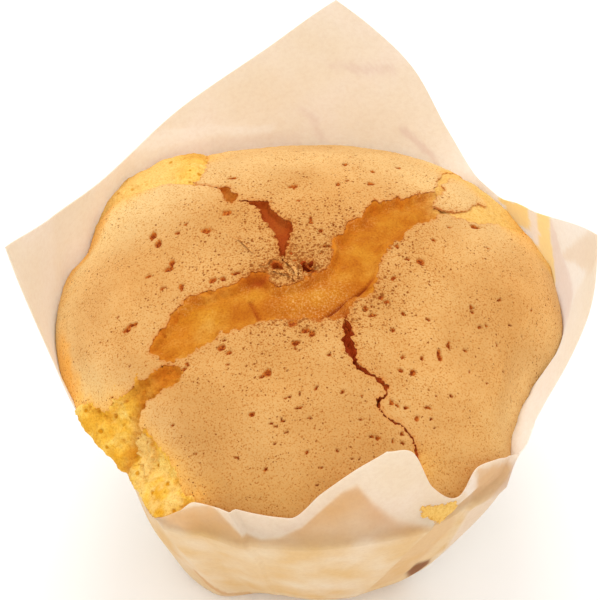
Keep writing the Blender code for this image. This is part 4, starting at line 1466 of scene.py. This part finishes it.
@dataclass
class OpenCrumb:
    """The crumb seen where the crust has parted.

    Attributes:
        skin: The cake's flat layout.
        crust: The openings.
        held: Keeps points inside the paper.
        step: Lattice cell.
        thickness: Of the crumb.
        under_crust: How deep it lies under the crust.
        reach: How far it runs on under the crust.
        inner: Distance from the apex, along the surface, where the torn sides' beds begin.
    """

    skin: FlatSkin
    crust: Crust
    held: Callable[[np.ndarray], np.ndarray]
    step: float = 0.25
    thickness: float = 0.6
    under_crust: float = 0.6
    reach: float = 2.8
    inner: float = 36

    def valley_depth(
        self, bed: CrumbBed, depths: tuple[float, ...], start: np.ndarray, end: np.ndarray
    ) -> np.ndarray:
        """Depth across a valley.

        Args:
            bed: The points.
            depths: At even steps from side to side.
            start: The side that the steps start from.
            end: The other side.

        Returns:
            One depth a point.
        """
        to_start, to_end = distance_to(bed.points, start), distance_to(bed.points, end)
        across = to_start / np.maximum(to_start + to_end, 1e-6)
        return eased_through(np.linspace(0, 1, len(depths)), np.array(depths), across)

    def depth(self, bed: CrumbBed) -> np.ndarray:
        """How deep the crumb lies below the dome."""
        crust, points, left, past = self.crust, bed.points, bed.left, bed.past
        depths = {part: part.value.depth for part in Part}
        depths[Part.VALLEY] = self.valley_depth(bed, crust.VALLEY_DEPTHS, crust.back, crust.front)
        depths[Part.LOWER_VALLEY] = self.valley_depth(
            bed, crust.LOWER_DEPTHS, crust.lower_left, crust.lower_right
        )
        depth = sum(bed.share[part] * depths[part] for part in Part)
        depth += 0.55 * sum(bed.tucks) + 0.9 * sum(bed.rolls)
        wall = smooth(-bed.nearest / (0.45 + 0.9 * bed.valley + 0.5 * left))
        depth = depth * wall + np.minimum(depth, 0.32 - 0.22 * left) * (1 - wall)
        buried = smooth(bed.nearest / 0.6)
        below = self.under_crust - 0.5 * hump(bed.seen, (-29.4, -16.8), (1.6, 1.6))
        depth = depth * (1 - buried) + np.maximum(depth, below) * buried
        rising = left * smooth((past + 8) / 6) * smooth(0.3 - bed.nearest / 1.6)
        hang = smooth((-144 - bed.turn) / 6) * smooth((bed.turn + 163) / 8)
        nook = 0.6 + 1.3 * bell(bed.turn + 128, 9)
        depth -= rising * nook * smooth((6 - past) / 2.5)
        depth -= rising * (0.8 + 0.9 * hang) * smooth((0.6 - past) / 1.8)
        depth -= 0.9 * bed.strip * smooth((-bed.nearest - 0.3) / 2.0)
        depth += 0.8 * bed.gully - 0.7 * bed.lump
        relief = bed.blended("rough") * Grain(51).at(points, 2.4, 3)
        relief += 0.05 * Grain(52).at(points, 0.6, 2) + 0.35 * left * Grain(54).at(points, 0.9, 2)
        relief *= smooth((1 - past) / 2) * (1 - 0.6 * left * smooth((past + 4) / 3))
        return depth - relief - crust.swell(points)

    def tones(self, bed: CrumbBed) -> dict[str, np.ndarray]:
        """How yellow, rusty, dark and pale the crumb is, and how strong its painted highlights are,
        each from 0 to 1.
        """
        points, valley, left = bed.points, bed.valley, bed.left
        x, y = bed.seen.T
        raw_left = 1 - left * smooth(1.25 - np.hypot(x + 23, y + 16) / 9)
        tail = smooth((-12 - x) / 6) * smooth((x + 26) / 4) * valley
        yellow = bed.blended("yellow") * raw_left * (1 - 0.6 * bed.gully) + 0.5 * tail
        yellow = np.clip(yellow + 0.2 * Grain(53).at(points, 4.0, 2), 0, 1) * (1 - 0.4 * valley)
        # Partly the crumb's baked colour and partly painted shade: rust under the crust's back edge,
        # less at the front edge, and on the shaded side of each crease's roll.
        rust = valley * (0.85 * fading(bed.to_back, 1.1) + 0.35 * fading(bed.to_front, 0.8))
        rust = np.max([rust, *(0.8 * roll for roll in bed.rolls), 0.15 * bed.gully], axis=0)
        # Partly the deep red-brown of the cracks and partly painted shade: in the cracks' depth, along
        # each crease, along the valley's front edge and under its back edge left of the middle.
        low = smooth((-17 - y) / 6) * bed.share[Part.FRONT_CRACK]
        dark = np.max([bed.blended("dark"), *bed.tucks], axis=0) * (1 - 0.15 * low)
        fringe = hump(bed.seen, (-8.8, -0.2), (2.4, 1.0))
        brink = fading(bed.to_front, 0.45) * smooth((4.6 - np.abs(x + 1.0)) / 1.5)
        dark = np.maximum(dark, np.maximum(0.8 * fringe, 0.6 * brink) * valley)
        for middle, wide, strength in (((-22.0, -10.2), 3.2, 0.45), ((-24.0, -16.4), 2.8, 0.75)):
            ember = strength * hump(bed.seen, middle, (wide, wide))
            rust = np.maximum(rust, ember)
            yellow = yellow * (1 - ember)
        flake = distance_to(points, np.vstack([self.crust.flake, self.crust.flake[:1]]))
        face = left * smooth((bed.turn + 138) / 6) * smooth((bed.past + 9) / 4)
        pale = (
            0.9 * bed.lump,
            0.75 * bed.peel,
            bed.strip * (0.35 + 0.65 * smooth((-21 - x) / 6)),
            0.8 * face * smooth(0.5 + 1.2 * Grain(56).at(points, 1.6, 2)),
        )
        # Painted highlight: light flecks along the valley's middle and near its back edge.
        sugared = smooth(1.4 - np.hypot((x - 0.5) / 1.25, y + 4.5) / 6)
        dusted = 0.8 * smooth(Grain(55).at(points, 3.0, 2) * 2) * fading(bed.to_back, 2.5)
        return {
            "yellow": yellow * (1 - 0.7 * np.maximum(bed.lump, bed.peel)),
            "rust": np.clip(rust + 0.35 * bed.peel * fading(flake, 1.0), 0, 1),
            "dark": dark,
            "pale": np.max(pale, axis=0),
            "frost": 0.8 * valley * np.maximum(sugared, dusted),
        }

    def build(self, finish: bpy.types.Material) -> None:
        """Build and dress the crumb, as one bed for the splits and three for the torn sides."""
        areas = (
            ("crumb_valley", (-37, -46), (35, 37)),
            ("crumb_torn_left", (-54, -54), (-10, -4)),
            ("crumb_back_left", (-54, 10), (-14, 54)),
            ("crumb_back_right", (20, 14), (48, 44)),
        )
        for name, low, high in areas:

            def stays(centres: np.ndarray, _: object, valley: bool = "valley" in name) -> np.ndarray:
                turn, run = polar(centres)
                along_crack = (run < self.inner) | (np.abs(turn + 62) < 20)
                here = along_crack if valley else run >= self.inner
                return (self.crust.opening(centres) < self.reach) & here

            piece, places = lattice(name, low, high, self.step, stays)
            bed = CrumbBed(self.crust, places)
            set_points(piece, self.held(self.skin.raised(places, -self.depth(bed))))
            store(piece, **self.tones(bed))
            thicken(piece, self.thickness)
            shade(piece, sharp_from=70)
            dress(piece, "sponge_cake", "sponge", finish)


@dataclass
class SpongeCore:
    """The body of the sponge under its crust.

    Attributes:
        skin: The cake's flat layout.
        below_crust: How far it lies under the dome.
        drawn_in: Share of its radius by which its side stays clear of the crust's edge.
        nearly: How much of the way to the underside's middle its last ring goes.
    """

    skin: FlatSkin
    below_crust: float = 3.4
    drawn_in: float = 0.075
    nearly: float = 0.9985

    def build(self, finish: bpy.types.Material) -> None:
        """Build the closed body from a ball, each ring moved to its place down the outline."""
        deselect()
        bpy.ops.mesh.primitive_uv_sphere_add(segments=120, ring_count=64, radius=1)
        piece = bpy.context.object
        piece.name = piece.data.name = "sponge_core"
        ball = raw_points(piece)
        azimuth = polar(ball)[0]
        share = np.arccos(np.clip(ball[:, 2], -1, 1)) / np.pi
        run = share * self.skin.sector_read(self.skin.length, azimuth) * self.nearly
        past = run - self.skin.sector_read(self.skin.rim, azimuth)
        points = self.skin.surface(placed(azimuth, run))
        points[:, 2] -= self.below_crust * (1 - smooth((past + 6) / 9))
        points[:, :2] *= 1 - (self.drawn_in * smooth((past + 12) / 8) * (past < 25))[:, None]
        set_points(piece, points)
        shade(piece)
        tone(piece, 0.6)
        dress(piece, "sponge_cake", "sponge", finish)


@dataclass(frozen=True)
class Fold:
    """A line down the wall where the paper laps over itself.

    Attributes:
        line: (azimuth, height) points, from the top.
        side: Which side of the way down stands proud: 1 left, -1 right.
        proud: How far at the top.
        proud_low: How far at the bottom.
        reach: How far from the line the lift fades out.
    """

    line: Line
    side: int
    proud: float
    proud_low: float = 0.2
    reach: float = 7.0


@dataclass(frozen=True)
class PaperMark:
    """A patch of another tone on the paper.

    Attributes:
        name: The tone it takes.
        outline: (azimuth, height) corners.
        strength: How strong it is, from 0 to 1.
        soft: Width of its soft border.
    """

    name: str
    outline: Line
    strength: float
    soft: float


@dataclass
class ParchmentCase:
    """One square sheet of parchment pushed into a cup mould.

    Attributes:
        form: The cake's form.
        thickness: Of the sheet, drawn a little thicker than real so that its edge shows.
        columns_front: Columns of the grid where the camera sees the wall.
        columns_back: Columns round the rest.
        floor_rows: Rows across the floor.
        wall_rows: Rows up to the cake's rim.
        flap_rows: Rows from there to the cut edge.
        least_flap: Least height of the sheet above the cake's rim.
        floor_fold: How far inside the wall's foot the floor ends.
        clear: From the dome to the sheet above the rim.
        inside_gap: From the cake, where it is pressed in, to the sheet's inner face.
        corners: Azimuths of the sheet's corners.
        edges: (azimuth, radius, height) along each side of its cut edge.
        folds: The folds that lap over.
    """

    form: CakeForm
    thickness: float = 0.22
    columns_front: int = 300
    columns_back: int = 230
    floor_rows: int = 4
    wall_rows: int = 38
    flap_rows: int = 32
    least_flap: float = 1.2
    floor_fold: float = 1.6
    clear: float = 0.8
    inside_gap: float = 0.05
    corners: tuple[float, ...] = (-180, -74, 3, 85, 180)
    edges: tuple[Route, ...] = (
        ((-180, 50.6, 69.6), (-173, 47.6, 62.5), (-167, 44.8, 53.5), (-162, 42.7, 45.0),
         (-157, 41.0, 41.5), (-150, 40.3, 40.8), (-144, 40.3, 41.8), (-138, 40.6, 43.4),
         (-131, 42.6, 45.2), (-125, 45.4, 45.4), (-118, 45.3, 50.8),
         (-115, 43.8, 53.5), (-109, 42.6, 52.6), (-95, 42.6, 52.2), (-88, 42.4, 58.8),
         (-81, 42.4, 64.2), (-74, 42.4, 67.7)),
        ((-74, 42.4, 67.7), (-68, 42.4, 65.5), (-63, 42.6, 54.6), (-56, 42.4, 48.7),
         (-50, 41.8, 52.0), (-44, 42.3, 50.5), (-38, 41.8, 46.6), (-29, 41.4, 45.0),
         (-22, 42.3, 48.4), (-16, 44.7, 55.5), (-8, 46.8, 62.5), (3, 47.4, 69.8)),
        ((3, 47.4, 69.8), (25, 43.9, 57.1), (37, 45.4, 50.4), (44, 47.0, 46.2), (50, 48.0, 45.8),
         (60, 49.6, 52.6), (68, 49.9, 64.2), (76, 49.6, 71.9), (85, 50.4, 77.9)),
        ((85, 50.4, 77.9), (100, 49.6, 66.7), (116, 49.2, 58.9), (135, 46.8, 55.4),
         (151, 44.6, 59.3), (165, 45.9, 63.5), (172, 47.6, 66.1), (180, 50.6, 69.6)),
    )
    folds: tuple[Fold, ...] = (
        Fold(((-112.6, 56.2), (-108.3, 54), (-104.5, 48.8), (-102.4, 41.8), (-101.8, 34.4),
              (-102, 23.2), (-103, 8)), -1, 1.2),
        Fold(((-50.8, 47.5), (-56.9, 46.7), (-62.3, 45.7), (-65.3, 41.7), (-67.4, 35.1),
              (-69.5, 28.2), (-71.8, 18.8), (-73, 8)), -1, 0.7),
        Fold(((-33, 46), (-41.4, 46.3), (-48.9, 45.2), (-52.8, 42.9), (-53.6, 36.4),
              (-50.7, 24.1), (-49, 8)), 1, 0.9),
    )
    MM_A_DEGREE = 0.76

    def cut_edge(self, azimuth: np.ndarray) -> tuple[np.ndarray, np.ndarray]:
        """Radius and height of the cut edge, with its corners left sharp."""
        radius, height = np.zeros(len(azimuth)), np.zeros(len(azimuth))
        for side, start, end in zip(self.edges, self.corners, self.corners[1:]):
            here = (azimuth >= start) & (azimuth <= end)
            place, out, up = np.array(side, float).T
            radius[here] = eased_through(place, out, azimuth[here])
            height[here] = eased_through(place, up, azimuth[here])
        return radius, height

    def column_azimuths(self) -> np.ndarray:
        """Azimuths of the columns, close together where the camera sees the wall."""
        inner = np.linspace(-135, -20, self.columns_front + 1)
        outer = np.linspace(-20, 225, self.columns_back + 1)[1:-1]
        azimuths = np.sort(wrapped(np.concatenate([inner, outer])))
        for corner in self.corners[:-1]:
            azimuths[np.argmin(np.abs(wrapped(azimuths - corner)))] = corner
        return np.sort(azimuths)

    def outer_radius(self, azimuth: np.ndarray, height: np.ndarray) -> np.ndarray:
        """Radius of the sheet's outer face.

        Args:
            azimuth: Degrees round the cake.
            height: Height above the table.

        Returns:
            Radius at each place.
        """
        edge_r, edge_z = self.cut_edge(azimuth)
        top = np.minimum(self.form.rim_height(azimuth), edge_z - self.least_flap)
        share, pressed = height / top, pinch(azimuth)
        swell = pleat(azimuth) * smooth(share) - pressed * smooth(share * 1.6 - 0.6)
        radius = self.form.wall_radius(azimuth, np.minimum(height, top)) + swell
        start = self.form.wall_radius(azimuth, top) + pleat(azimuth) - pressed
        dome = self.form.dome_radius(azimuth, height) + self.clear - pressed
        flap = (height - top) / (edge_z - top)
        free = np.maximum(start + np.clip(flap, 0, 1) * (edge_r - start), dome)
        radius = np.where(flap > 0, free, radius)
        spot = np.stack([azimuth * self.MM_A_DEGREE, height], 1)
        for fold in self.folds:
            off, along = beside(spot, np.array(fold.line) * (self.MM_A_DEGREE, 1))
            amount = fold.proud + (fold.proud_low - fold.proud) * along
            near = smooth(1 - np.abs(off) / fold.reach) * smooth(off * fold.side / 0.7 + 0.5)
            radius = radius + amount * near * smooth(share / 0.1)
        return radius

    def hold_in(self, points: np.ndarray) -> np.ndarray:
        """Press points of the cake back inside the sheet, where they lie below its cut edge."""
        azimuth, run = polar(points)
        above = points[:, 2] - self.cut_edge(azimuth)[1]
        limit = self.outer_radius(azimuth, points[:, 2]) - self.thickness - self.inside_gap
        share = np.minimum(1, (limit + 4 * smooth(above / 0.8)) / np.maximum(run, 1))
        return points * np.stack([share, share, np.ones(len(share))], 1)

    def build(self, finish: bpy.types.Material) -> None:
        """Build the sheet from a flat grid wrapped round the cake."""
        azimuths = self.column_azimuths()
        rows = self.floor_rows + self.wall_rows + self.flap_rows
        piece, places = lattice("parchment_case", (0, 0), (len(azimuths), rows), 1.0)
        column, row = np.round(places).astype(int).T
        azimuth = azimuths[column % len(azimuths)]
        edge_z = self.cut_edge(azimuth)[1]
        foot = self.form.wall_radius(azimuth, np.zeros(len(azimuth))) - self.floor_fold
        top = np.minimum(self.form.rim_height(azimuth), edge_z - self.least_flap)
        wall = 1 - np.clip(1 - (row - self.floor_rows) / self.wall_rows, 0, 1) ** 1.4
        flap = (row - self.floor_rows - self.wall_rows) / self.flap_rows
        height = np.where(flap > 0, top + flap * (edge_z - top), np.maximum(wall, 0) * top)
        on_floor = row <= self.floor_rows
        radius = np.where(on_floor, foot * row / self.floor_rows, self.outer_radius(azimuth, height))
        height = np.where(on_floor, 0, height)
        set_points(piece, placed(azimuth, radius, height))
        store(piece, **self.marks(azimuth, height))
        bpy.context.view_layer.objects.active = piece
        bpy.ops.object.mode_set(mode="EDIT")
        bpy.ops.mesh.select_all(action="SELECT")
        bpy.ops.mesh.remove_doubles(threshold=0.002 * MM)
        bpy.ops.mesh.normals_make_consistent(inside=False)
        bpy.ops.object.mode_set(mode="OBJECT")
        thicken(piece, self.thickness)
        shade(piece, sharp_from=40)
        dress(piece, "paper_case", "parchment", finish)
    # Stain and residue marks are the sheet's own colours; crease, blush and hollow marks are painted
    # shade, and clean marks are painted light.
    MARKS = (
        PaperMark("crease", ((-57.5, 46), (-63, 45), (-66, 41), (-68, 35), (-70, 28), (-72, 15),
                             (-62, 15), (-59.4, 24), (-56.8, 32), (-54.5, 37)), 0.35, 1.6),
        # This mark darkens the loose layer by the right fold with the stain's tan tone.
        PaperMark("stain", ((-53, 44), (-50.5, 50), (-46, 50.5), (-40, 47), (-36, 40), (-40, 20),
                            (-48, 8), (-50, 24)), 0.8, 2.0),
        # This stain lies in the recess between two folds and is partly painted shade.
        PaperMark("stain", ((-57, 46), (-63, 45), (-70, 28), (-72, 8), (-53, 8), (-51, 24),
                            (-53.6, 36), (-53, 42)), 0.8, 0.8),
        PaperMark("hollow", ((-56.8, 11), (-61, 18), (-59.6, 22.8), (-54, 19.5), (-50, 14), (-51, 9)),
                  0.9, 1.5),
        PaperMark("clean", ((-54.5, 49), (-51.3, 51.6), (-50.6, 48.5), (-52.2, 44.7)), 0.7, 0.4),
        PaperMark("stain", ((-50.4, 52), (-42, 48), (-43, 46.4), (-50, 45.8)), 0.6, 0.5),
        PaperMark("blush", ((-53, 42), (-50, 24), (-48, 8), (-30, 8), (-32, 30), (-38, 46)), 0.4, 1.5),
        PaperMark("blush", ((-146, 47), (-143, 42), (-127, 42), (-128, 47)), 0.35, 0.8),
        PaperMark("crease", ((-126, 16), (-124, 8), (-121, 4), (-114, 3.4), (-114, 1.6), (-123, 2),
                             (-126.5, 7), (-128, 14)), 0.8, 0.7),
        PaperMark("residue", ((43.6, 46.3), (38.6, 49.4), (31.1, 54), (30.2, 53.3), (30.1, 48.6),
                              (32.1, 47.2), (34.3, 46), (37.5, 44.5), (39.6, 45.2), (40.7, 46.6),
                              (42.8, 46)), 1.0, 0.3),
        PaperMark("residue", ((25.6, 58), (21.5, 60), (21.3, 55), (20.8, 52.2), (19.6, 50), (17, 46),
                              (15, 40), (24, 39), (26, 42), (27.6, 44.4), (30.5, 45.4), (29, 46.4),
                              (27, 46.8), (25.7, 50.8), (26.1, 53.4)), 1.0, 0.3),
        PaperMark("blush", ((21.5, 60), (15.2, 54.6), (5.4, 52.8), (2, 42), (12, 38), (19.4, 45)),
                  0.5, 1.0),
        PaperMark("clean", ((21, 60), (6.5, 68.5), (15.1, 54.2)), 0.45, 0.5),
        PaperMark("clean", ((14.9, 53.5), (1.0, 62.4), (4.5, 51)), 0.6, 0.5),
        PaperMark("stain", ((15.1, 54.2), (8.1, 64.7), (4, 70), (-1, 70), (-1.8, 64.5), (1, 62.4),
                            (14.9, 53.8)), 0.3, 0.5),
        PaperMark("clean", ((137, 58), (125.9, 56.2), (115, 53.6), (107, 52), (97, 51), (100, 49),
                            (115, 51), (127, 52.4)), 0.6, 1.2),
        PaperMark("blush", ((128, 51), (115.3, 50.4), (106, 49.5), (92.4, 49), (92, 45), (110, 45),
                            (135, 46)), 0.25, 1.2),
        PaperMark("blush", ((86.5, 64.6), (79.5, 64.4), (72, 65.5), (72, 63.6), (79.5, 62.6),
                            (86.5, 63.8)), 0.5, 0.8),
        PaperMark("blush", ((93, 54), (90, 51.6), (88.3, 47), (86.5, 47), (88.6, 52), (91.5, 54.6)),
                  0.4, 0.8),
        PaperMark("blush", ((69.5, 52.5), (65.1, 50), (60.7, 47.3), (60, 45.6), (65.5, 48.4),
                            (70, 51.2)), 0.6, 0.8),
    )
    STAIN_LINE: Line = (
        (-160, 52), (-132, 47), (-112, 54), (-104.5, 48.5), (-100.7, 47.7), (-96.6, 48.7),
        (-92.1, 51.3), (-87.5, 56.2), (-83.7, 60.1), (-80.4, 61.7), (-76.9, 57.2), (-71.2, 51.2),
        (-66.3, 47.9), (-61.7, 45.0), (-56.9, 46.7), (-50.8, 47.5),
    )

    def marks(self, azimuth: np.ndarray, height: np.ndarray) -> dict[str, np.ndarray]:
        """Oil stain, residue, painted crease shadow, painted pinkish shade, painted hollow shadow and
        painted light of points on the sheet, and how freely light passes through it.
        """
        spot = np.stack([azimuth * self.MM_A_DEGREE, height], 1)
        below = np.interp(azimuth, *np.array(self.STAIN_LINE).T) - height
        front = smooth((azimuth + 165) / 20) * smooth((-46 - azimuth) / 6)
        soaked = smooth(below / (1 + 3 * bell(azimuth + 73, 8))) * front
        # Painted shade: a crease shadow just under the stain line, widest near azimuth -75.
        under = fading(below, 1.6) * soaked
        wide = fading(below, 4.5) * soaked * bell(azimuth + 75, 9)
        # Painted shade: a thin pinkish shadow line just above the stain line.
        brow = smooth(-below / 0.3) * fading(-below, 1.3) * front
        middle = bell(azimuth + 90, 14)
        above = height - self.form.rim_height(azimuth)
        # Painted light: the sheet is drawn whiter a little above the cake's rim, round the back and
        # the sides, against the shade between sheet and cake.
        behind = smooth((150 - np.abs(wrapped(azimuth - 92))) / 30)
        contact = behind * fading(above - 2, 6) * smooth((above + 4) / 4)
        found = {
            "stain": soaked * (0.75 + 0.35 * Grain(61).at(spot, 9.0, 3)),
            "crease": np.maximum(0.35 * under * middle, 0.9 * wide),
            "blush": 0.25 * brow * middle,
            "residue": np.zeros(len(azimuth)),
            "clean": 0.8 * contact * (1 - 0.6 * bell(azimuth - 92, 45)),
            "hollow": np.zeros(len(azimuth)),
        }
        shifted = spot + 0.3 * Grain(62).push(spot, 1.1)
        for mark in self.MARKS:
            outline = np.array(mark.outline) * (self.MM_A_DEGREE, 1)
            share = smooth(0.5 - signed_distance(shifted, outline, 12.0) / mark.soft)
            found[mark.name] = np.maximum(found[mark.name], mark.strength * share)
        found["stain"] = found["stain"] * (1 - 0.8 * found["blush"])
        found["loose"] = 0.1 + (0.4 + 0.25 * bell(azimuth - 8, 36)) * smooth((above + 1) / 3)
        return {name: np.clip(value, 0, 1) for name, value in found.items()}


@dataclass(frozen=True)
class StuckCrumb:
    """A scrap of cake stuck on the paper.

    Attributes:
        name: The piece's name.
        outline: (azimuth, height) corners.
        rise: How far it stands off the paper.
        yellow: Colour, from 0 for baked amber to 1 for raw yellow.
        pale: How pale it is, from 0 to 1.
        inside: Whether it is on the paper's inner face.
    """

    name: str
    outline: Line
    rise: float
    yellow: float
    pale: float
    inside: bool = False
    STEP = 0.22
    MARGIN = 0.8

    def build(self, case: ParchmentCase, finish: bpy.types.Material) -> None:
        """Build and dress the scrap.

        Args:
            case: The paper that it sticks to.
            finish: The crumb's material.
        """
        outline = np.array(self.outline) * (case.MM_A_DEGREE, 1)
        low, high = outline.min(0) - self.MARGIN, outline.max(0) + self.MARGIN

        def real(places: np.ndarray) -> np.ndarray:
            flipped = np.stack([low[0] + high[0] - places[:, 0], places[:, 1]], 1)
            return flipped if self.inside else places

        def torn(places: np.ndarray) -> np.ndarray:
            return -signed_distance(real(places) + 0.45 * Grain(71).push(places, 0.9), outline)

        piece, places = lattice(self.name, low, high, self.STEP, lambda at, _: torn(at) > 0)
        along, height = real(places).T
        rise = self.rise * smooth(torn(places) / 0.7 + 0.2) * (1 + 0.5 * Grain(73).at(places, 0.8, 2))
        azimuth = along / case.MM_A_DEGREE
        away = -case.thickness - rise if self.inside else rise
        set_points(piece, placed(azimuth, case.outer_radius(azimuth, height) + away, height))
        tone(piece, self.yellow, self.pale)
        thicken(piece, self.rise)
        shade(piece)
        dress(piece, "sponge_cake", "sponge", finish)


SCRAPS = (
    StuckCrumb("scrap_on_front", ((-66.2, 51.2), (-57.4, 48.4), (-56.6, 46.3), (-58.6, 45.6),
                                  (-60.9, 44.0), (-63.4, 46.9), (-65.6, 48.6)), 0.35, 0.55, 0.6),
    StuckCrumb("crumb_behind_left", ((120.5, 48.7), (119.3, 49.1), (117.6, 48.3), (117.9, 47.4),
                                     (120.1, 47.8)), 0.25, 0.6, 0.8, True),
    StuckCrumb("crumb_behind_left_low", ((123.2, 48.8), (121.5, 48.8), (121.4, 48), (123, 48.1)),
               0.2, 0.6, 0.8, True),
)


@dataclass
class Studio:
    """Camera, soft lights and a pale table.

    Attributes:
        target: What the camera and the lamps look at.
        distance: From there to the camera.
        elevation: Of the camera, in degrees.
        lens: Its focal length.
        world: Strength of the light from all round.
        sensor: Width of its sensor.
        table_size: Side of the table, in metres.
        table_gap: How far the table lies below the paper.
    """

    target: tuple[float, float, float] = (-1.9, 6.9, 47.8)
    distance: float = 450.0
    elevation: float = 50.0
    lens: float = 156.0
    world: float = 0.96
    sensor: float = 36.0
    table_size: float = 6.0
    table_gap: float = 0.15

    def area(self, name: str, place: tuple[float, float, float], size: float, watts: float) -> None:
        """Add a soft lamp that points at the cake.

        Args:
            name: The lamp's name.
            place: Where it hangs, in millimetres.
            size: Side of its square, in millimetres.
            watts: Its power.
        """
        lamp = bpy.data.lights.new(name, "AREA")
        lamp.shape = "SQUARE"
        lamp.size = size * MM
        lamp.energy = watts
        holder = bpy.data.objects.new(name, lamp)
        bpy.context.scene.collection.objects.link(holder)
        holder.location = Vector(place) * MM
        aim = Vector(self.target) * MM - holder.location
        holder.rotation_euler = aim.to_track_quat("-Z", "Y").to_euler()

    def build(self, table_finish: bpy.types.Material) -> None:
        """Set up the camera, the lamps, the world and the table."""
        scene = bpy.context.scene
        rise = math.radians(self.elevation)
        away = Vector((0, -math.cos(rise), math.sin(rise))) * self.distance
        lens = bpy.data.cameras.new("camera")
        lens.lens = self.lens
        lens.sensor_width = self.sensor
        camera = bpy.data.objects.new("camera", lens)
        scene.collection.objects.link(camera)
        camera.location = (Vector(self.target) + away) * MM
        camera.rotation_euler = (math.radians(90 - self.elevation), 0, 0)
        scene.camera = camera
        scene.view_settings.view_transform = "Standard"
        world = bpy.data.worlds.new("studio")
        scene.world = world
        world.use_nodes = True
        feed(world.node_tree.nodes["Background"], {"Color": "FFFDFA", "Strength": self.world})
        self.area("front", (-20, -330, 560), 420, 0.5)
        self.area("back", (-20, 260, 560), 300, 1.1)
        deselect()
        bpy.ops.mesh.primitive_plane_add(size=self.table_size)
        table = bpy.context.object
        table.name = table.data.name = "table"
        set_points(table, raw_points(table) / MM + (0, 0, -self.table_gap))
        table.data.materials.append(table_finish)


def main() -> None:
    """Build the cake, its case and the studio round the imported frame."""
    logging.basicConfig(level=logging.INFO, stream=sys.stdout, format="%(name)s: %(message)s")
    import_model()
    form = CakeForm()
    skin = FlatSkin(form)
    crust = Crust(skin)
    crumb_finish = CrumbFinish().make()
    skin_finish = CrustFinish().make()
    case = ParchmentCase(form)
    SpongeCrust(skin, crust, case.hold_in).build(skin_finish, TornCrustFinish().make())
    SpongeCrust(skin, crust, case.hold_in, 0.1, 0.25, rust=0.05, dull=0).build_shreds(skin_finish)
    OpenCrumb(skin, crust, case.hold_in).build(crumb_finish)
    SpongeCore(skin).build(crumb_finish)
    case.build(ParchmentFinish().make())
    for scrap in SCRAPS:
        scrap.build(case, crumb_finish)
    Studio().build(FloorFinish().make())


if __name__ == "__main__":
    main()
